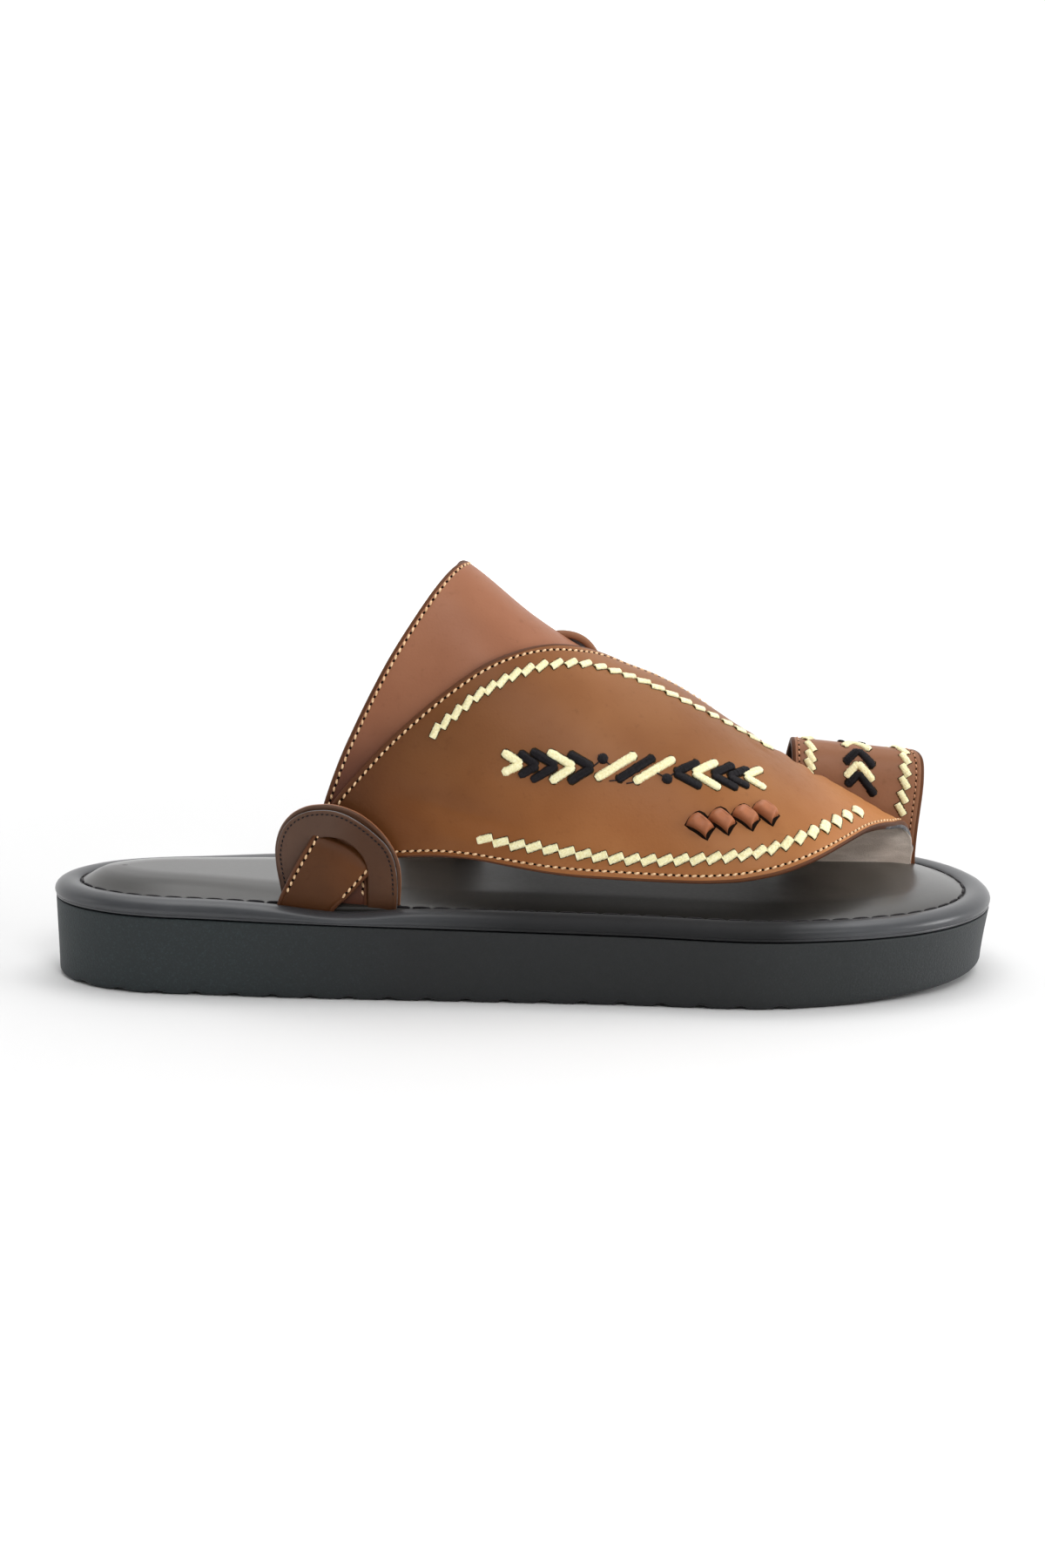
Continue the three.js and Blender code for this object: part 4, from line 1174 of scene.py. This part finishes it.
embroidery = {
    # threads laid side by side: their spacing, radius, and the height of the middle of a figure
    "pitch": 0.36, "thread": 0.25, "rise": 0.6,
    # how unevenly they lie: in length, and in height
    "ragged": 0.05, "wavy": 0.035,
    # the dark plate of painted shade around each figure: past its sides and ends, over and under the leather
    "shadeSide": 0.3, "shadeEnd": 0.22, "shadeHeights": (0.07, -0.25),
    # two rows of gold dashes: place and degrees of each one's middle
    # length, width and tilt of a dash, the share by which the last ones are wider, and where that starts
    "upper": {"places": [
        (0.4099, 38), (0.4202, 40.3), (0.4307, 42.7),
        (0.4412, 45.3), (0.4519, 47.9), (0.4627, 50.4), (0.4743, 53.4),
        (0.4861, 56.7), (0.499, 60.1), (0.5131, 63.7),
        (0.528, 67.2), (0.5426, 70.6), (0.5576, 73.9), (0.5735, 76.5),
        (0.5894, 78.1), (0.6052, 78.7), (0.6206, 78.7),
        (0.635, 78.3), (0.6491, 78.2), (0.6633, 78.7), (0.6777, 79.8),
        (0.6929, 81.4), (0.7087, 83.2), (0.7237, 84.5), (0.7384, 85), (0.753, 85.3)],
        "dash": (4.5, 1.95, 23, 0.12, 12)},
    "lower": {"places": [
        (0.4596, 19.3), (0.4757, 19.1), (0.4925, 19),
        (0.5095, 19.1), (0.5264, 19), (0.5432, 18.8), (0.5601, 18.6),
        (0.5765, 18.4), (0.5931, 18.3), (0.6098, 18.3),
        (0.6266, 18.4), (0.6432, 18.7), (0.6596, 19.4), (0.6762, 20.2),
        (0.6927, 21.4), (0.7087, 22.8), (0.7243, 24.4),
        (0.7389, 26.4), (0.7528, 29), (0.7663, 32.2), (0.7803, 36.2),
        (0.794, 40.7), (0.8074, 45.8), (0.821, 51.6), (0.8346, 58.4), (0.8486, 66.4)],
        "dash": (4.6, 2.25, 25, 0.7, 18)},
    # chevrons: colour, tip, ends of the upper and the lower arm
    "chevrons": [
        ("gold", (0.4958, 37.2), (0.4763, 38.2), (0.4766, 33.8)),
        ("black", (0.512, 38), (0.4929, 39.4), (0.4934, 34.4)),
        ("black", (0.5313, 39.4), (0.5054, 40.8), (0.506, 34.2)),
        ("gold", (0.549, 40.5), (0.5222, 42), (0.5255, 35.2)),
        ("black", (0.5677, 41.6), (0.5434, 43.3), (0.544, 36.3)),
        ("black", (0.6519, 45.8), (0.6754, 52.4), (0.6784, 44.1)),
        ("gold", (0.6703, 47.9), (0.6943, 55.8), (0.6979, 46.1)),
        ("black", (0.6898, 50.1), (0.7118, 58.2), (0.716, 48.8)),
        ("black", (0.7065, 52.2), (0.7277, 59.7), (0.728, 51.6)),
        ("gold", (0.7237, 55.5), (0.742, 63.4), (0.7455, 54.2)),
    ],
    "bars": [("gold", (0.5714, 38.9), (0.6124, 48.4)), ("black", (0.5934, 39.8), (0.631, 48.9)),
             ("gold", (0.6109, 40.2), (0.6509, 50.3))],
    "discs": [(0.5782, 44.8), (0.6442, 43.2)], "discWidth": 3.0, "discHeight": 3.1,
    # threads that run loose between the figures
    "floats": [((0.5677, 41.6), (0.5782, 44.8)),
               ((0.5782, 44.8), (0.5905, 42.9)), ((0.6509, 45.4), (0.6442, 43.2)),
               ((0.6442, 43.2), (0.6299, 44.6)),
               ((0.5855, 39.2), (0.5934, 39.8)), ((0.603, 39.4), (0.6109, 40.2))],
    "floatThread": 0.22, "armWidth": 2.5,
}
wobble = np.random.default_rng(7)


def satin(bundle, spot, start, end, width, slant=0.0, round=False, under=None):
    # threads laid side by side across a line from start to end, both measured from a spot
    start, end = np.asarray(start, float), np.asarray(end, float)
    run = end - start
    length = np.hypot(*run)
    run = run / length
    across = np.array([-run[1], run[0]]) + run * math.tan(math.radians(slant))
    count = max(int(length / embroidery["pitch"]), 3)
    place = (np.arange(count) + 0.5) / count * length
    near = np.minimum(place, length - place)
    if round:
        full = np.sqrt(1 - np.clip(1 - (near + 0.1) / (width * 0.5), 0, 0.93)**2)
    else:
        full = 1 - 0.08 * np.clip(1 - near / 0.4, 0, 1)
    half = width / 2 * full * (1 + embroidery["ragged"] * wobble.standard_normal(count))
    s = np.linspace(-1, 1, 7)
    flat = start + run * place[:, None, None] + across * (s[None, :] * half[:, None])[..., None]
    lift = embroidery["rise"] * np.sqrt(np.clip(1 - s**2, 0, 1)) * np.sqrt(full)[:, None] - 0.05
    lift = lift + embroidery["wavy"] * wobble.standard_normal((count, 1))
    found = spot.find(flat[..., 0], flat[..., 1])
    paths, above = spot.face(*found, lift), spot.face(*found, lift + 1)
    for path, up in zip(paths, unit(above - paths)):
        bundle.tube(path, embroidery["thread"] * np.array([0.8, 1, 1, 1, 1, 1, 0.8]), sides=5, up=up)
    if under is not None:
        # a dark plate round the threads: painted shade
        wide, long = width / 2 + embroidery["shadeSide"], length / 2 + embroidery["shadeEnd"]
        cut = 0.75 if round else 0.25
        corners = [(-long, -wide + cut), (-long + cut, -wide), (long - cut, -wide), (long, -wide + cut),
                   (long, wide - cut), (long - cut, wide), (-long + cut, wide), (-long, wide - cut)]
        laid = np.array([(start + end) / 2 + run * a + across * b for a, b in corners])
        found = spot.find(laid[:, 0], laid[:, 1])
        under.slab(*(spot.face(*found, height) for height in embroidery["shadeHeights"]))


def heading(slope, length):
    # half a line's length, along its slope
    return np.array([math.cos(slope), math.sin(slope)]) * length / 2


def dashes(bundle, under, face, places, dash):
    # a row of short blocks, each turned by the same tilt from the row's own way
    length, width, tilt, widen, start = dash
    for k, place in enumerate(places):
        way = face(places[max(k - 1, 0)]).offset(places[min(k + 1, len(places) - 1)])
        end = heading(math.atan2(way[1], way[0]) + math.radians(tilt), length)
        wide = width * (1 + widen * np.clip((k - start) / 7, 0, 1))
        satin(bundle, face(place), -end, end, wide, under=under)


def chevrons(bundles, under, face, marks, wide):
    # arms that run to a tip, two to a chevron and one to a bar
    for colour, tip, *arms in marks:
        spot = face(tip)
        for arm in arms:
            satin(bundles[colour], spot, spot.offset(arm), (0, 0), wide, round=True, under=under)


def makeEmbroidery():
    colours = {"gold": Bundle(), "black": Bundle()}
    backing = Bundle()
    for key in ("upper", "lower"):
        dashes(colours["gold"], backing, onLeaf, embroidery[key]["places"], embroidery[key]["dash"])
    chevrons(colours, backing, onLeaf, embroidery["chevrons"], embroidery["armWidth"])
    chevrons(colours, backing, onLeaf, embroidery["bars"], embroidery["armWidth"])
    reach = embroidery["discWidth"] / 2
    for place in embroidery["discs"]:
        satin(colours["black"], onLeaf(place), (-reach, 0), (reach, 0), embroidery["discHeight"], round=True)
    for start, end in embroidery["floats"]:
        spot = onLeaf(start)
        path = spot.point(*(spot.offset(end)[:, None] * np.linspace(0, 1, 6)), 0.12)
        colours["black"].tube(path, embroidery["floatThread"], sides=5)
    for colour, bundle in colours.items():
        bundle.make(colour + "Embroidery", colour, "strap_leather")
    backing.make("embroideryShadePlates", "backing", "strap_leather")


makeEmbroidery()
print("embroidery made")


ring = {
    "thick": 2.0, "inside": 17.0, "height": 36.3, "drop": 3.7, "round": 0.72,
    # room between it and the leaf: beside the leaf's top, for the toe's wall
    "clear": 1.6, "wallShare": 0.149 + 0.032,
    # degrees past the foot's edge that make one drop, and the drop, down to the sole
    "pastTurn": 22.5, "pastDrop": 7.0,
    # degrees around, rear and front edge's place
    "rows": [
        (0, 0.797, 0.93), (45, 0.796, 0.9385), (80, 0.796, 0.9365),
        (110, 0.796, 0.922), (140, 0.792, 0.9), (180, 0.786, 0.876),
    ],
    # gold dashes up both edges, and chevrons over the crest: share from the rear edge, degrees around
    "rear": [
        (0.127, 36), (0.127, 43), (0.127, 51.3), (0.134, 60.1), (0.138, 73.7), (0.136, 92.3), (0.135, 109),
        (0.135, 123),
    ],
    "front": [
        (0.84, 12), (0.844, 22), (0.852, 30.4), (0.855, 41.5), (0.858, 53.4), (0.864, 67.9), (0.875, 82.4),
        (0.875, 98), (0.875, 112),
    ],
    "dashLength": 4.2, "dashWidth": 2.1, "dashTilt": -57, "armWidth": 2.4,
    "chevrons": [
        ("black", (0.49, 112), (0.4, 96), (0.6, 94)), ("gold", (0.49, 95), (0.4, 79.5), (0.605, 77.5)),
        ("black", (0.505, 74.5), (0.394, 56.1), (0.616, 54.3)),
        ("gold", (0.496, 57.3), (0.401, 42.7), (0.612, 41.1)),
        ("black", (0.502, 47.3), (0.409, 36.2), (0.632, 30.4)),
    ],
}
ring["half"] = (ring["inside"] + ring["thick"]) / 2
ring["middle"] = sole["ballWidth"] * ring["wallShare"] + leafTop + ring["clear"] + ring["half"]


def ringPoint(turn, side):
    # degrees around, and a share from 0 at the rear edge to 1 at the front edge
    turn, side = np.broadcast_arrays(np.asarray(turn, float), np.asarray(side, float))
    degrees = np.clip(turn, 0, 180)
    at, rear, front = (np.array(c) for c in zip(*ring["rows"]))
    back, ahead = along(at, rear, degrees), along(at, front, degrees)
    x = (back + (ahead - back) * side) * sole["length"]
    down = (np.maximum(-turn, 0) + np.maximum(turn - 180, 0)) / ring["pastTurn"] * ring["pastDrop"]
    c, s = np.cos(np.radians(degrees)), np.sin(np.radians(degrees))
    high = ring["height"] - ring["drop"] * side - ring["thick"] / 2
    y = ring["middle"] - np.sign(c) * np.abs(c)**ring["round"] * ring["half"]
    z = insoleTop(x) + high * np.maximum(s, 0)**ring["round"] - down
    return np.stack([x, y, z], -1)


def ringFace(side, turn, by):
    e = 0.6
    around = ringPoint(turn + e, side) - ringPoint(turn - e, side)
    ahead = ringPoint(turn, side + 0.01) - ringPoint(turn, side - 0.01)
    out = np.reshape(ring["thick"] / 2 + by * np.ones(around.shape[:-1]), around.shape[:-1] + (1,))
    return ringPoint(turn, side) + unit(np.cross(ahead, around)) * out


def onRing(place):
    return Spot(ringFace, place, (0.01, 1.0))


def makeRing():
    t = np.linspace(0, 1, 41)
    past = ring["pastTurn"]
    turns = np.concatenate([[-past, -15, -8], np.linspace(0, 180, 97), [188, 195, 180 + past]])
    rows = np.array([ringPoint(a, t) for a in turns])
    piece, lines = strapSkin("ringSkin", rows, ring["thick"], ["ring", "inside", "edge"], columns=22,
                             stitches=(1.9, 2.3), endRound=False)
    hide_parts("toe_ring")
    stitches, holes = Bundle(), Bundle()
    for line in lines:
        seam(*line, 1.9, stitches, holes, length=0.56, thick=0.24, hole=0.3, slant=0.12)
    colours = {"gold": Bundle(), "black": Bundle()}
    backing = Bundle()
    end = heading(math.radians(ring["dashTilt"]), ring["dashLength"])
    for place in ring["rear"] + ring["front"]:
        satin(colours["gold"], onRing(place), -end, end, ring["dashWidth"], under=backing)
    chevrons(colours, backing, onRing, ring["chevrons"], ring["armWidth"])
    stitches.make("ringStitches", "tan", "strap_leather")
    holes.make("ringHoles", "hole", "strap_leather")
    for colour, bundle in colours.items():
        bundle.make(colour + "RingEmbroidery", colour, "strap_leather")
    backing.make("ringEmbroideryShade", "backing", "strap_leather")


makeRing()


def earLayer(which, name, fromOut, toOut, outer, inner, bead, finish):
    # one of an ear's two layers of leather, an arch between its rim and the opening
    thick, middle = toOut - fromOut, (fromOut + toOut) / 2
    r = thick / 2 * 0.8
    turns = np.radians([30, 60, 90, 120, 150])
    points, rims = [], []
    for o, i in zip(outer, inner):
        reach = np.linalg.norm(o - i)
        place = lambda d, out: earPoint(which, *(i + (o - i) * d / reach), out)
        columns = [r, *np.linspace(r + 0.4, reach - 3.0, 11), *(reach - np.array([1.9, 1.3, 1.0, r]))]
        section = []
        for d in columns:
            line = bead * math.exp(-((reach - d - ears["bead"]) / 0.4)**2)
            line -= ears["groove"] * math.exp(-((reach - d - ears["grooveIn"]) / 0.3)**2)
            section.append((d, toOut + line))
        section += [(reach - r + r * math.sin(a), middle + thick / 2 * math.cos(a)) for a in turns]
        section += [(d, fromOut) for d in columns[::-1]]
        section += [(r - r * math.sin(a), middle - thick / 2 * math.cos(a)) for a in turns]
        points += [place(d, out) for d, out in section]
        rims.append(place(reach - ears["grooveIn"], [toOut - 0.1, toOut + 1]))
    count = len(section)
    faces = ringFaces(len(outer), count)
    # on the rear layer, kind 1 is the rim's finish, partly a painted highlight
    kinds = [1 if 17 <= k % count <= 21 else 0 for k in range(len(faces))]  # 1 around the rim, 0 elsewhere
    faces += [tuple(range(count))[::-1], tuple(range(len(points) - count, len(points)))]
    rims = np.array(rims)
    piece = makePiece(name, np.array(points), faces, finish, kinds + [0, 0])
    return piece, rims[:, 0], unit(rims[:, 1] - rims[:, 0])


def makeEar(which):
    path = refine(ears["outline"], 4)
    rear, front, opening = path[:, 0:2], path[:, 2:4], path[:, 4:6]
    under, between, top = -earThick / 2, -earThick / 2 + ears["back"], earThick / 2
    back, _, _ = earLayer(which, which + "EarBack", under, between, rear, opening, 0.12, ["ear", "rim"])
    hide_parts(which + "_ear")
    _, line, facing = earLayer(which, which + "EarFront", between - 0.05, top, front, opening, 0.1,
                               ["ear", "fray"])
    stitches = Bundle()
    seam(line, facing, 1.5, stitches, None, thick=0.2, slant=0.12)
    stitches.make(which + "EarStitches", "black", "ear_leather")


makeEar("outer")
makeEar("inner")
print("ring and ears made")


paper = {
    "half": 30, "dark": (0.74, 0.74, 0.74), "pale": (0.76, 0.76, 0.76),
    # it glows away from the sandal, between these distances in metres, so that the far floor is white
    "glowFrom": 0.19, "glowTo": 0.9, "glow": 0.75,
}


def makeFloor():
    h = paper["half"]
    mesh = bpy.data.meshes.new("floor")
    mesh.from_pydata([(-h, -h, 0), (h, -h, 0), (h, h, 0), (-h, h, 0)], [], [(0, 1, 2, 3)])
    f = Finish("studio floor", Specular_IOR_Level=0.1, Emission_Strength=paper["glow"])
    here = f.place()
    away = f.node("ShaderNodeVectorMath", {"operation": "LENGTH"}, {0: here}, out=1)
    mesh.materials.append(f.shade(
        Base_Color=f.mix(f.noise(here, 3, 2), paper["dark"], paper["pale"]),
        Roughness=0.9,
        Emission_Color=f.mix(f.between(away, paper["glowFrom"], paper["glowTo"]), (0, 0, 0), (1, 1, 1)),
    ))
    floor = bpy.data.objects.new("floor", mesh)
    scene.collection.objects.link(floor)


makeFloor()

print("scene ready")
